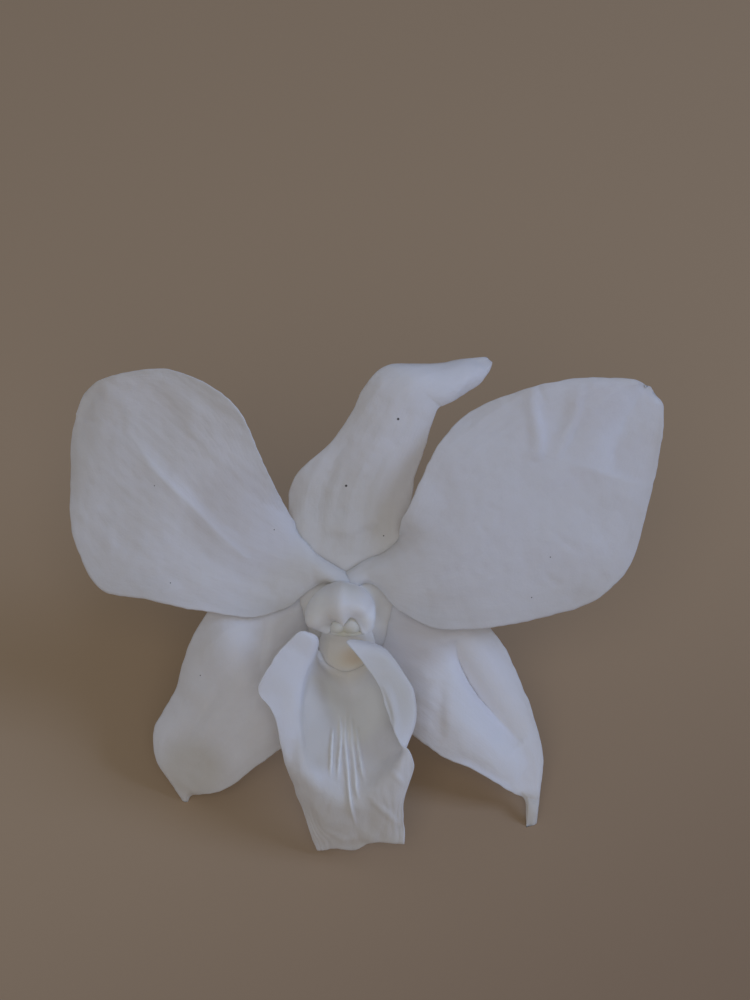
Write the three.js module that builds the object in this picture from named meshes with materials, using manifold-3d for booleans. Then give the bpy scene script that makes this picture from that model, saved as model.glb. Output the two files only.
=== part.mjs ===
// A preserved dendrobium orchid bloom, lying on a table on the tips of its two lateral sepals and
// the cut end of its pedicel, with its face turned up and forward.
//
// Every piece is drawn in the bloom's own frame, in millimetres: x to the right as one faces the
// bloom, y up its face and z out of its face, with the origin where the column meets the sepals.
// The bloom group then leans that frame back and stands it on the table, which is world z = 0.

import * as THREE from "three";
import { mergeVertices } from "three/addons/utils/BufferGeometryUtils.js";
import Module from "manifold-3d";

const wasm = await Module();
wasm.setup();

// ---- Driving dimensions ----

const LEAN_DEG = 45; // from the table up to the bloom's face
const BLOOM_AT = [-2.19, -0.8, 20.75]; // from the middle of the bloom's footprint to its frame
const TEPAL_THICK = 0.6;
const LIP_THICK = 0.6;
const KEELS_AT = [0.44, 0.468, 0.496, 0.524, 0.552]; // across the lip, from 0 at one margin to 1
const KEEL_HALF_WIDTH = 0.012; // in the same measure, about 0.35 mm
const KEEL_HEIGHT = 0.5;
const KEEL_RISE = [0.3, 0.42]; // where the keels begin and are full, from 0 at the lip's base to 1
const KEEL_END = 0.82; // where the middle keel ends
const KEEL_STEP_BACK = 0.07; // how much sooner each next keel ends
const KEEL_FADE = 0.08;
const LIP_WAVES = { depth: 0.25, count: 4 };
const MIDLOBE_WAVES = { depth: 0.35, count: 4, from: 0.75 };
const HOOD_THICK = 0.9;
const FOOT_HALF_WIDTH = 2.2;
const FOOT_END_HALF_WIDTH = 0.75;
const FOOT_HALF_THICK = 0.55;
const OVARY_RADIUS = 1.35;
const PEDICEL_RADIUS = 0.9;

// ---- Outlines ----
// Each table runs from a piece's base to its tip. A row lists points straight across the piece.
// A sepal or petal has three: one margin, the midrib and the other margin.

const DORSAL_SEPAL = [
  [[-1.7, 2.3, -3.0], [0.0, 2.2, -2.9], [1.7, 2.3, -3.0]],
  [[-4.4, 4.6, -2.9], [0.0, 5.3, -2.5], [5.0, 4.6, -3.0]],
  [[-6.1, 7.8, -2.8], [0.1, 8.3, -2.1], [6.8, 7.2, -2.9]],
  [[-6.3, 11.7, -3.4], [0.6, 11.7, -2.0], [7.3, 10.6, -2.4]],
  [[-5.1, 14.3, -3.1], [1.9, 14.7, -1.5], [7.8, 13.9, -1.8]],
  [[-1.9, 17.4, -2.2], [3.7, 17.8, -0.7], [8.9, 16.9, -1.1]],
  [[0.5, 20.8, -1.4], [5.2, 20.7, 0.0], [9.6, 19.6, -0.7]],
  [[2.2, 23.7, -1.1], [6.7, 22.9, 0.2], [10.3, 21.3, -0.8]],
  [[4.3, 25.8, -1.2], [8.7, 24.4, -0.3], [12.2, 22.4, -1.5]],
  [[8.2, 26.3, -2.3], [11.8, 25.3, -1.7], [14.4, 23.7, -2.6]],
  [[12.2, 26.9, -3.9], [14.5, 26.2, -3.5], [15.9, 25.4, -3.8]],
  [[15.9, 27.2, -5.0], [16.2, 27.0, -5.0], [16.5, 26.6, -5.0]],
];

const LEFT_PETAL = [
  [[-2.1, 4.3, -1.5], [-2.1, 3.0, -0.9], [-2.1, 1.8, -1.1]],
  [[-4.3, 6.5, -1.4], [-4.1, 3.7, -1.0], [-4.4, 0.9, -1.3]],
  [[-6.5, 9.8, -1.2], [-7.2, 4.7, -0.8], [-6.6, -0.9, -1.1]],
  [[-8.0, 13.1, 0.5], [-10.6, 6.1, -0.4], [-10.2, -1.9, -0.7]],
  [[-9.8, 16.8, 2.0], [-14.6, 8.9, -0.1], [-15.6, -1.3, -0.4]],
  [[-11.5, 21.0, 2.6], [-18.4, 12.9, -0.2], [-21.7, 0.0, -0.6]],
  [[-14.9, 23.7, 2.3], [-21.9, 16.1, -0.8], [-27.4, 1.1, -1.8]],
  [[-19.3, 25.4, 1.2], [-25.1, 19.0, -1.7], [-30.3, 6.1, -3.3]],
  [[-24.1, 25.4, -0.5], [-27.7, 20.9, -2.9], [-30.9, 13.3, -4.6]],
  [[-27.6, 24.6, -2.5], [-28.8, 21.8, -3.9], [-31.1, 18.4, -4.8]],
  [[-29.4, 23.3, -4.1], [-29.9, 22.2, -4.3], [-30.5, 20.9, -4.7]],
];

const RIGHT_PETAL = [
  [[2.2, 4.2, -1.7], [2.2, 2.9, -1.5], [2.2, 1.7, -1.7]],
  [[4.5, 5.7, -1.8], [4.3, 3.6, -0.9], [4.3, 0.9, -1.1]],
  [[6.8, 6.9, -1.6], [7.2, 4.4, 0.0], [6.3, -1.3, -0.7]],
  [[7.4, 9.8, -0.5], [10.6, 6.1, 0.9], [9.7, -3.1, -0.5]],
  [[8.3, 12.9, 1.1], [13.9, 8.3, 1.5], [15.0, -3.1, -0.3]],
  [[10.2, 16.8, 1.8], [17.2, 10.9, 1.9], [21.1, -2.1, 0.1]],
  [[13.3, 20.4, 2.0], [21.1, 13.9, 1.9], [27.3, -0.2, 0.5]],
  [[17.8, 22.6, 2.0], [24.8, 16.9, 1.7], [31.4, 3.8, 0.4]],
  [[23.1, 24.1, 2.1], [28.3, 19.4, 1.6], [33.6, 10.6, 0.9]],
  [[28.1, 24.6, 1.8], [31.1, 21.7, 1.4], [35.1, 17.7, 0.7]],
  [[32.0, 24.4, 1.2], [33.0, 23.1, 1.0], [35.4, 21.7, 0.5]],
  [[33.6, 24.1, 0.6], [34.0, 23.8, 0.6], [34.6, 23.2, 0.5]],
];

const LEFT_LATERAL_SEPAL = [
  [[-2.3, 1.2, -2.9], [-2.9, -3.5, -5.9], [-1.8, -8.0, -9.4]],
  [[-4.8, 1.0, -3.0], [-4.2, -4.5, -4.2], [-0.9, -10.8, -9.0]],
  [[-9.0, 0.2, -2.6], [-7.2, -6.5, -2.5], [-3.1, -13.6, -6.0]],
  [[-14.4, -0.7, -2.5], [-10.4, -9.2, -1.6], [-5.3, -15.7, -3.9]],
  [[-17.7, -5.5, -3.4], [-13.2, -12.4, -2.1], [-8.2, -17.5, -3.0]],
  [[-19.5, -10.8, -4.5], [-15.4, -15.5, -3.1], [-11.3, -19.7, -3.2]],
  [[-21.7, -14.9, -5.0], [-17.5, -18.4, -4.0], [-14.0, -21.7, -4.0]],
  [[-21.4, -18.1, -5.3], [-18.8, -20.6, -4.9], [-16.4, -22.3, -4.9]],
  [[-19.9, -20.8, -5.5], [-18.9, -21.9, -5.6], [-17.7, -22.7, -5.7]],
  [[-18.8, -22.8, -6.1], [-18.5, -23.2, -6.1], [-18.1, -23.4, -6.1]],
];

const RIGHT_LATERAL_SEPAL = [
  [[2.3, 1.2, -2.9], [2.9, -3.5, -5.9], [1.8, -8.0, -9.4]],
  [[4.8, 1.0, -2.9], [4.2, -4.5, -4.6], [0.9, -10.8, -8.6]],
  [[9.5, 0.2, -2.9], [7.9, -6.6, -3.5], [3.6, -13.3, -6.0]],
  [[14.5, -1.7, -4.0], [11.2, -9.0, -2.5], [7.0, -14.9, -3.8]],
  [[18.0, -5.6, -4.9], [14.2, -11.8, -2.9], [10.5, -17.4, -2.5]],
  [[19.9, -9.5, -5.1], [16.8, -14.8, -3.5], [13.9, -18.9, -2.6]],
  [[21.4, -13.7, -4.8], [18.9, -17.5, -3.9], [16.8, -20.7, -3.1]],
  [[22.3, -18.2, -4.3], [20.4, -20.3, -3.8], [19.1, -21.9, -3.4]],
  [[21.9, -21.6, -3.8], [21.1, -22.0, -3.6], [20.2, -22.5, -3.4]],
  [[21.8, -23.6, -3.4], [21.1, -23.9, -3.3], [20.4, -24.1, -3.3]],
  [[21.6, -25.4, -3.6], [21.0, -25.7, -3.6], [20.4, -25.9, -3.7]],
];

// A row of the lip runs from the left side lobe's margin, down the wall of the trough, over the
// disc and up to the right side lobe's margin, which is folded inwards.
const LIP = [
  [[-1.3, -7.4, -6.9], [-1.1, -7.8, -7.3], [-0.7, -8.1, -7.6], [0.0, -8.2, -7.7],
    [0.7, -8.1, -7.6], [1.1, -7.8, -7.3], [1.3, -7.4, -6.9]],
  [[-3.1, -5.0, -0.1], [-3.2, -5.3, -1.6], [-2.9, -7.1, -4.0], [0.0, -9.1, -6.0],
    [2.9, -7.4, -4.2], [4.0, -5.6, -1.4], [3.3, -4.8, 0.0]],
  [[-4.8, -3.4, 3.9], [-3.3, -4.3, 2.9], [-3.2, -7.1, -0.6], [0.0, -10.6, -3.4],
    [3.9, -8.2, -1.2], [4.7, -5.8, 2.0], [0.2, -4.5, 2.9]],
  [[-6.6, -4.9, 4.2], [-4.0, -6.5, 2.7], [-3.8, -8.9, 0.6], [0.0, -12.4, -1.2],
    [5.2, -10.4, 0.4], [6.1, -7.6, 3.1], [2.2, -6.8, 3.7]],
  [[-8.2, -7.1, 4.8], [-4.9, -8.7, 3.1], [-4.4, -11.1, 1.8], [0.1, -14.5, 0.8],
    [6.2, -12.1, 1.5], [7.3, -9.5, 3.6], [3.9, -9.3, 4.2]],
  [[-9.4, -9.5, 4.8], [-5.4, -11.3, 3.7], [-4.4, -13.9, 2.9], [0.3, -16.9, 2.5],
    [6.2, -14.2, 2.7], [7.6, -12.2, 4.1], [4.9, -12.4, 4.7]],
  [[-7.8, -12.0, 4.6], [-5.2, -14.2, 4.0], [-4.0, -16.6, 3.6], [0.6, -19.3, 3.7],
    [5.4, -16.8, 4.0], [6.9, -15.1, 4.9], [5.9, -15.1, 5.6]],
  [[-6.8, -16.1, 4.2], [-5.0, -18.0, 4.2], [-3.4, -19.8, 4.2], [0.9, -21.6, 4.3],
    [4.6, -19.1, 5.3], [6.1, -17.4, 5.9], [7.1, -16.1, 6.0]],
  [[-5.7, -20.2, 2.9], [-4.5, -21.3, 3.2], [-2.8, -22.8, 3.3], [1.1, -23.8, 3.4],
    [4.3, -21.9, 4.7], [6.0, -19.8, 5.6], [7.5, -17.5, 6.2]],
  [[-4.1, -24.7, 1.4], [-3.3, -25.0, 1.6], [-2.0, -25.5, 1.8], [1.1, -25.9, 2.1],
    [3.8, -24.5, 3.5], [5.3, -23.5, 4.2], [6.4, -22.1, 4.8]],
  [[-3.1, -27.9, 0.0], [-2.4, -27.8, 0.2], [-1.0, -27.4, 0.5], [0.9, -27.7, 0.9],
    [3.0, -26.6, 2.2], [5.0, -26.4, 2.8], [6.7, -26.3, 3.3]],
];

// The column's hood, from its root to its mouth. A row runs from the left wing over the back to the
// right wing, and the last row is the mouth's edge with its side teeth and its middle tooth.
const HOOD = [
  [[-0.9, 0.2, -2.0], [-1.0, 0.8, -2.0], [-0.7, 1.2, -1.9], [0.0, 1.4, -1.9],
    [0.7, 1.2, -1.9], [1.0, 0.8, -2.0], [0.9, 0.2, -2.0]],
  [[-3.5, -1.6, -0.5], [-3.2, -0.1, 0.3], [-2.1, 1.0, 0.7], [-0.2, 1.4, 0.9],
    [1.8, 1.0, 0.7], [2.6, 0.0, 0.3], [2.7, -1.4, -0.3]],
  [[-3.9, -2.3, 0.6], [-3.8, -1.1, 1.8], [-2.5, 0.3, 2.5], [-0.4, 0.9, 3.0],
    [1.8, 0.4, 2.7], [2.9, -0.8, 1.9], [2.9, -2.3, 1.0]],
  [[-3.7, -2.7, 1.2], [-3.7, -2.3, 2.5], [-2.4, -0.9, 3.4], [-0.4, -0.3, 4.0],
    [1.7, -0.7, 3.8], [2.7, -1.9, 3.0], [2.9, -3.0, 1.9]],
  [[-2.1, -3.6, 2.5], [-1.5, -2.3, 3.1], [-0.95, -1.75, 3.7], [-0.15, -2.7, 4.2],
    [0.6, -1.75, 4.0], [1.4, -2.3, 3.4], [2.3, -3.6, 2.7]],
];

const COLUMN_BODY = { centre: [0, 0.1, -0.5], radii: [1.3, 1.3, 1.9] };
const COLUMN_FLARE = { centre: [0, -1.6, -1.3], radii: [4.0, 1.9, 1.0] };
const COLUMN_FOOT = [[0, -0.9, -1.1], [0, -2.8, -2.3], [0, -5.0, -4.2], [0, -6.9, -7.6]];
const ANTHER_LOBES = [[-0.6, -2.8, 2.0], [0.65, -2.8, 2.0]];
const ANTHER_RADII = [0.75, 1.15, 0.7];
const PEDICEL = [[0, 0.45, -2.8], [0, 0.3, -8], [0.2, -0.6, -14], [0.5, -1.9, -20], [0.8, -3.6, -27]];
const OVARY_FULL = 0.15; // of the pedicel's length
const OVARY_PART = 0.4;
const OVARY_RIBS = { count: 6, depth: 0.07 };

// ---- Surfaces and solids ----

const point = ([x, y, z]) => new THREE.Vector3(x, y, z);

// A curve through a row's points: a parabola through three, a spline through more.
function crossCurve(points) {
  if (points.length > 3) return new THREE.CatmullRomCurve3(points, false, "centripetal");
  const [a, middle, b] = points;
  const control = middle.clone().multiplyScalar(2).sub(a.clone().add(b).multiplyScalar(0.5));
  return new THREE.QuadraticBezierCurve3(a, control, b);
}

// The smooth surface through a table: u runs 0 to 1 across its rows, v 0 to 1 from base to tip.
function surfaceOf(table) {
  const rails = table[0].map((_, i) => {
    const points = table.map((row) => point(row[i]));
    return new THREE.CatmullRomCurve3(points, false, "centripetal");
  });
  return (u, v) => crossCurve(rails.map((rail) => rail.getPoint(v))).getPoint(u);
}

function normalAt(surface, u, v) {
  const step = 0.004;
  const alongU = surface(Math.min(u + step, 1), v).sub(surface(Math.max(u - step, 0), v));
  const alongV = surface(u, Math.min(v + step, 1)).sub(surface(u, Math.max(v - step, 0)));
  return alongU.cross(alongV).normalize();
}

const evenly = (count) => Array.from({ length: count + 1 }, (_, i) => i / count);

// A closed sheet of even thickness on a surface. wave(u, v) bends both faces along the normal and
// ridge(u, v) raises the front face alone. Both faces are split along the same diagonals.
function sheet(table, { columns, rows, thick, wave = () => 0, ridge = () => 0, flip = false }) {
  const surface = surfaceOf(table);
  const front = [];
  const back = [];
  for (const v of rows) {
    for (const u of columns) {
      const normal = normalAt(surface, u, v).multiplyScalar(flip ? -1 : 1);
      const middle = surface(u, v).addScaledVector(normal, wave(u, v));
      front.push(middle.clone().addScaledVector(normal, thick / 2 + ridge(u, v)));
      back.push(middle.clone().addScaledVector(normal, -thick / 2));
    }
  }
  const wide = columns.length;
  const high = rows.length;
  const vertices = [...front, ...back];
  const behind = front.length;
  const triangles = [];
  const quad = (a, b, c, d) => triangles.push([a, b, c], [a, c, d]);
  for (let j = 0; j + 1 < high; j++) {
    for (let i = 0; i + 1 < wide; i++) {
      const a = j * wide + i;
      quad(a, a + 1, a + 1 + wide, a + wide);
      triangles.push([a + behind, a + 1 + wide + behind, a + 1 + behind]);
      triangles.push([a + behind, a + wide + behind, a + 1 + wide + behind]);
    }
  }
  const rim = rimOf(wide, high);
  rim.forEach((a, k) => {
    const b = rim[(k + 1) % rim.length];
    quad(b, a, a + behind, b + behind);
  });
  if (flip) triangles.forEach((t) => t.reverse());
  return geometryOf(vertices, triangles);
}

// The grid's edge vertices, once round.
function rimOf(wide, high) {
  const rim = [];
  for (let i = 0; i < wide - 1; i++) rim.push(i);
  for (let j = 0; j < high - 1; j++) rim.push(j * wide + wide - 1);
  for (let i = wide - 1; i > 0; i--) rim.push((high - 1) * wide + i);
  for (let j = high - 1; j > 0; j--) rim.push(j * wide);
  return rim;
}

function geometryOf(vertices, triangles) {
  const geometry = new THREE.BufferGeometry().setFromPoints(vertices);
  geometry.setIndex(triangles.flat());
  return geometry;
}

// A closed stalk along a path, with its radius given by radius(t, angle) and a flat cap at each end.
function stalk(path, { steps, sides, radius }) {
  const curve = new THREE.CatmullRomCurve3(path.map(point), false, "centripetal");
  const frames = curve.computeFrenetFrames(steps, false);
  const vertices = [];
  for (let j = 0; j <= steps; j++) {
    const centre = curve.getPointAt(j / steps);
    for (let i = 0; i < sides; i++) {
      const angle = (2 * Math.PI * i) / sides;
      const r = radius(j / steps, angle);
      vertices.push(
        centre.clone()
          .addScaledVector(frames.normals[j], r * Math.cos(angle))
          .addScaledVector(frames.binormals[j], r * Math.sin(angle)),
      );
    }
  }
  const triangles = [];
  for (let j = 0; j < steps; j++) {
    for (let i = 0; i < sides; i++) {
      const a = j * sides + i;
      const b = j * sides + ((i + 1) % sides);
      triangles.push([a, b, b + sides], [a, b + sides, a + sides]);
    }
  }
  const first = vertices.push(curve.getPointAt(0)) - 1;
  const last = vertices.push(curve.getPointAt(1)) - 1;
  for (let i = 0; i < sides; i++) {
    const next = (i + 1) % sides;
    triangles.push([first, next, i], [last, steps * sides + i, steps * sides + next]);
  }
  return geometryOf(vertices, triangles);
}

function ellipsoid(centre, radii) {
  return new THREE.SphereGeometry(1, 16, 10).scale(...radii).translate(...centre);
}

function solidOf(geometry) {
  const bare = geometry.clone();
  bare.deleteAttribute("normal");
  bare.deleteAttribute("uv");
  const merged = mergeVertices(bare, 1e-4);
  return new wasm.Manifold(
    new wasm.Mesh({
      numProp: 3,
      vertProperties: merged.attributes.position.array,
      triVerts: new Uint32Array(merged.index.array),
    }),
  );
}

function geometryOfSolid(solid) {
  const mesh = solid.getMesh();
  const geometry = new THREE.BufferGeometry();
  geometry.setAttribute("position", new THREE.BufferAttribute(mesh.vertProperties, 3));
  geometry.setIndex(new THREE.BufferAttribute(mesh.triVerts, 1));
  return geometry;
}

// ---- The bloom and the table it lies on ----

const bloom = new THREE.Group();
bloom.rotation.x = THREE.MathUtils.degToRad(LEAN_DEG);
bloom.position.set(...BLOOM_AT);
bloom.updateMatrixWorld(true);

// The space under the table's top, in the bloom's frame. What reaches into it is cut off flat.
const TABLE = 100;
const table = new THREE.BoxGeometry(TABLE, TABLE, TABLE).translate(0, 0, -TABLE / 2);
table.applyMatrix4(bloom.matrixWorld.clone().invert());
const underTable = solidOf(table);

const cutAtTable = (geometry) => geometryOfSolid(solidOf(geometry).subtract(underTable));

// ---- Materials ----

const white = (color, roughness) => new THREE.MeshStandardMaterial({ color, roughness, metalness: 0 });
const petalWhite = white(0xe9ebf2, 0.62);
const sepalWhite = white(0xe4e6ee, 0.64);
const lipWhite = white(0xeceef4, 0.6);
const columnWhite = white(0xe6e8e4, 0.5);
const antherCream = white(0xc9cba6, 0.45);
const ovaryCream = white(0xdcdcc4, 0.55);

function add(name, geometry, material) {
  const mesh = new THREE.Mesh(geometry, material);
  mesh.name = name;
  bloom.add(mesh);
}

// ---- Sepals and petals ----

// A margin that ripples: nothing at the midrib, growing towards both margins.
const ripple = (depth, waves, phase) => (u, v) => {
  const fromMidrib = Math.abs(2 * u - 1);
  return depth * fromMidrib ** 2 * Math.sin(2 * Math.PI * waves * v + phase + 2 * u);
};

const tepal = (table, rows, wave, flip = false) =>
  sheet(table, { columns: evenly(8), rows: evenly(rows), thick: TEPAL_THICK, wave, flip });

add("dorsal_sepal", tepal(DORSAL_SEPAL, 22, ripple(0.22, 3, 0.4)), sepalWhite);
add("left_petal", tepal(LEFT_PETAL, 22, ripple(0.25, 3.5, 1.2), true), petalWhite);
add("right_petal", tepal(RIGHT_PETAL, 24, ripple(0.3, 4.5, 0.2)), petalWhite);

const leftLateral = tepal(LEFT_LATERAL_SEPAL, 22, ripple(0.2, 2.5, 0.9), true);
const rightLateral = tepal(RIGHT_LATERAL_SEPAL, 24, ripple(0.2, 2.5, 2.1));
add("left_lateral_sepal", cutAtTable(leftLateral), sepalWhite);
add("right_lateral_sepal", cutAtTable(rightLateral), sepalWhite);

// ---- Lip ----

const smoothstep = THREE.MathUtils.smoothstep;

// The callus: thin keels along the disc. The middle one runs furthest towards the midlobe.
function keels(u, v) {
  const middle = (KEELS_AT.length - 1) / 2;
  return KEELS_AT.reduce((height, at, i) => {
    const end = KEEL_END - KEEL_STEP_BACK * Math.abs(i - middle);
    const along = smoothstep(v, ...KEEL_RISE) * (1 - smoothstep(v, end - KEEL_FADE, end));
    const across = Math.max(0, 1 - Math.abs(u - at) / KEEL_HALF_WIDTH);
    return Math.max(height, KEEL_HEIGHT * along * across);
  }, 0);
}

// Both side lobes' and the midlobe's free edges ripple.
function lipWave(u, v) {
  const alongMargins = Math.abs(2 * u - 1) ** 2 * Math.sin(2 * Math.PI * LIP_WAVES.count * v);
  const acrossTip = smoothstep(v, MIDLOBE_WAVES.from, 1) * Math.sin(2 * Math.PI * MIDLOBE_WAVES.count * u);
  return LIP_WAVES.depth * alongMargins + MIDLOBE_WAVES.depth * acrossTip;
}

// Columns stand close together over the keels, one on each crest and one in each valley.
const keelStep = (KEELS_AT[1] - KEELS_AT[0]) / 2;
const keelColumns = evenly(2 * KEELS_AT.length).map((_, i) => KEELS_AT[0] + (i - 1) * keelStep);
const leftColumns = evenly(7).map((t) => t * (keelColumns[0] - keelStep));
const rightColumns = evenly(7).map((t) => 1 - (1 - t) * (1 - keelStep - keelColumns.at(-1)));
const lipColumns = [...leftColumns, ...keelColumns, ...rightColumns];

const lip = sheet(LIP, {
  columns: lipColumns,
  rows: evenly(32),
  thick: LIP_THICK,
  wave: lipWave,
  ridge: keels,
  flip: true,
});
add("lip", lip, lipWhite);

// ---- Column and anther cap ----

const hood = sheet(HOOD, { columns: evenly(16), rows: evenly(12), thick: HOOD_THICK });
const foot = stalk(COLUMN_FOOT, {
  steps: 8,
  sides: 12,
  radius: (t, angle) => {
    const narrowing = smoothstep(t, 0.5, 1);
    const halfWidth = FOOT_HALF_WIDTH + (FOOT_END_HALF_WIDTH - FOOT_HALF_WIDTH) * narrowing;
    const toEllipse = Math.hypot(FOOT_HALF_THICK * Math.cos(angle), halfWidth * Math.sin(angle));
    return (halfWidth * FOOT_HALF_THICK) / toEllipse;
  },
});
const columnBody = ellipsoid(COLUMN_BODY.centre, COLUMN_BODY.radii);
const columnFlare = ellipsoid(COLUMN_FLARE.centre, COLUMN_FLARE.radii);
const [column, ...parts] = [hood, columnBody, columnFlare, foot].map(solidOf);
add("column", geometryOfSolid(parts.reduce((solid, part) => solid.add(part), column)), columnWhite);

const [leftLobe, rightLobe] = ANTHER_LOBES.map((centre) => solidOf(ellipsoid(centre, ANTHER_RADII)));
add("anther_cap", geometryOfSolid(leftLobe.add(rightLobe)), antherCream);

// ---- Pedicel with its ovary ----

// The ovary swells out of the pedicel and has ribs.
const pedicel = stalk(PEDICEL, {
  steps: 26,
  sides: 18,
  radius: (t, angle) => {
    const ovary = 1 - smoothstep(t, OVARY_FULL, OVARY_PART);
    const swell = PEDICEL_RADIUS + (OVARY_RADIUS - PEDICEL_RADIUS) * ovary;
    return swell * (1 - OVARY_RIBS.depth * ovary * (1 + Math.cos(OVARY_RIBS.count * angle)));
  },
});
add("pedicel", cutAtTable(pedicel), ovaryCream);

export default bloom;
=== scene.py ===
"""A preserved dendrobium orchid bloom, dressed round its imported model.

Every piece is drawn in the bloom's own frame, in millimetres: x to the right as one faces the bloom,
y up its face and z out of its face. in_world() leans that frame back and turns it into metres.
"""

import math

import bmesh
import bpy
import numpy as np
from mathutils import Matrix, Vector, noise


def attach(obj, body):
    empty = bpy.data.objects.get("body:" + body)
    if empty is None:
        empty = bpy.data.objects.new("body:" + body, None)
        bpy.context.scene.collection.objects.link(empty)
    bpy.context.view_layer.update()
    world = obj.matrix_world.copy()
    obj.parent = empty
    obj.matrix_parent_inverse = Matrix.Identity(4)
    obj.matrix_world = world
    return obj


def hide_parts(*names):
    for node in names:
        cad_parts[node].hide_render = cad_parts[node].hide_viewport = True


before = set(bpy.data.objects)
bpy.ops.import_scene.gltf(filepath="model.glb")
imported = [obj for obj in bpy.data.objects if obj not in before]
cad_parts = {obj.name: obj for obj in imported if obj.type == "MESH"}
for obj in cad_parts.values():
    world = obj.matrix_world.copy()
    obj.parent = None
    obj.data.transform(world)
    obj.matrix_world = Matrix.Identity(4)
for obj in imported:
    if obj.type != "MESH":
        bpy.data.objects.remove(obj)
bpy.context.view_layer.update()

# ---- The bloom's frame, as in the part's source ----

LEAN = math.radians(45)
BLOOM_AT = np.array([-2.19, -0.8, 20.75])
MM = 0.001


def in_world(points):
    """Points of the bloom's frame, in millimetres, as world points in metres."""
    x, y, z = np.moveaxis(np.asarray(points, float), -1, 0)
    back = y * math.cos(LEAN) - z * math.sin(LEAN)
    up = y * math.sin(LEAN) + z * math.cos(LEAN)
    return (np.stack([x, back, up], -1) + BLOOM_AT) * MM


# ---- Outlines and sizes, in millimetres of the bloom's frame ----

# The rows of an outline go from base to tip. A row of a sepal or petal is one margin, the midrib and the
# other margin.
DORSAL_SEPAL = [
    [[-1.7, 2.3, -3.0], [0.0, 2.2, -2.9], [1.7, 2.3, -3.0]],
    [[-4.4, 4.6, -2.9], [0.0, 5.3, -2.5], [5.0, 4.6, -3.0]],
    [[-6.1, 7.8, -2.8], [0.1, 8.3, -2.1], [6.8, 7.2, -2.9]],
    [[-6.3, 11.7, -3.4], [0.6, 11.7, -2.0], [7.3, 10.6, -2.4]],
    [[-5.1, 14.3, -3.1], [1.9, 14.7, -1.5], [7.8, 13.9, -1.8]],
    [[-1.9, 17.4, -2.2], [3.7, 17.8, -0.7], [8.9, 16.9, -1.1]],
    [[0.5, 20.8, -1.4], [5.2, 20.7, 0.0], [9.6, 19.6, -0.7]],
    [[2.2, 23.7, -1.1], [6.7, 22.9, 0.2], [10.3, 21.3, -0.8]],
    [[4.3, 25.8, -1.2], [8.7, 24.4, -0.3], [12.2, 22.4, -1.5]],
    [[8.2, 26.3, -2.3], [11.8, 25.3, -1.7], [14.4, 23.7, -2.6]],
    [[12.2, 26.9, -3.9], [14.5, 26.2, -3.5], [15.9, 25.4, -3.8]],
    [[15.9, 27.2, -5.0], [16.2, 27.0, -5.0], [16.5, 26.6, -5.0]],
]

LEFT_PETAL = [
    [[-2.1, 4.3, -1.5], [-2.1, 3.0, -0.9], [-2.1, 1.8, -1.1]],
    [[-4.3, 6.5, -1.4], [-4.1, 3.7, -1.0], [-4.4, 0.9, -1.3]],
    [[-6.5, 9.8, -1.2], [-7.2, 4.7, -0.8], [-6.6, -0.9, -1.1]],
    [[-8.0, 13.1, 0.5], [-10.6, 6.1, -0.4], [-10.2, -1.9, -0.7]],
    [[-9.8, 16.8, 2.0], [-14.6, 8.9, -0.1], [-15.6, -1.3, -0.4]],
    [[-11.5, 21.0, 2.6], [-18.4, 12.9, -0.2], [-21.7, 0.0, -0.6]],
    [[-14.9, 23.7, 2.3], [-21.9, 16.1, -0.8], [-27.4, 1.1, -1.8]],
    [[-19.3, 25.4, 1.2], [-25.1, 19.0, -1.7], [-30.3, 6.1, -3.3]],
    [[-24.1, 25.4, -0.5], [-27.7, 20.9, -2.9], [-30.9, 13.3, -4.6]],
    [[-27.6, 24.6, -2.5], [-28.8, 21.8, -3.9], [-31.1, 18.4, -4.8]],
    [[-29.4, 23.3, -4.1], [-29.9, 22.2, -4.3], [-30.5, 20.9, -4.7]],
]

RIGHT_PETAL = [
    [[2.2, 4.2, -1.7], [2.2, 2.9, -1.5], [2.2, 1.7, -1.7]],
    [[4.5, 5.7, -1.8], [4.3, 3.6, -0.9], [4.3, 0.9, -1.1]],
    [[6.8, 6.9, -1.6], [7.2, 4.4, 0.0], [6.3, -1.3, -0.7]],
    [[7.4, 9.8, -0.5], [10.6, 6.1, 0.9], [9.7, -3.1, -0.5]],
    [[8.3, 12.9, 1.1], [13.9, 8.3, 1.5], [15.0, -3.1, -0.3]],
    [[10.2, 16.8, 1.8], [17.2, 10.9, 1.9], [21.1, -2.1, 0.1]],
    [[13.3, 20.4, 2.0], [21.1, 13.9, 1.9], [27.3, -0.2, 0.5]],
    [[17.8, 22.6, 2.0], [24.8, 16.9, 1.7], [31.4, 3.8, 0.4]],
    [[23.1, 24.1, 2.1], [28.3, 19.4, 1.6], [33.6, 10.6, 0.9]],
    [[28.1, 24.6, 1.8], [31.1, 21.7, 1.4], [35.1, 17.7, 0.7]],
    [[32.0, 24.4, 1.2], [33.0, 23.1, 1.0], [35.4, 21.7, 0.5]],
    [[33.6, 24.1, 0.6], [34.0, 23.8, 0.6], [34.6, 23.2, 0.5]],
]

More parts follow.
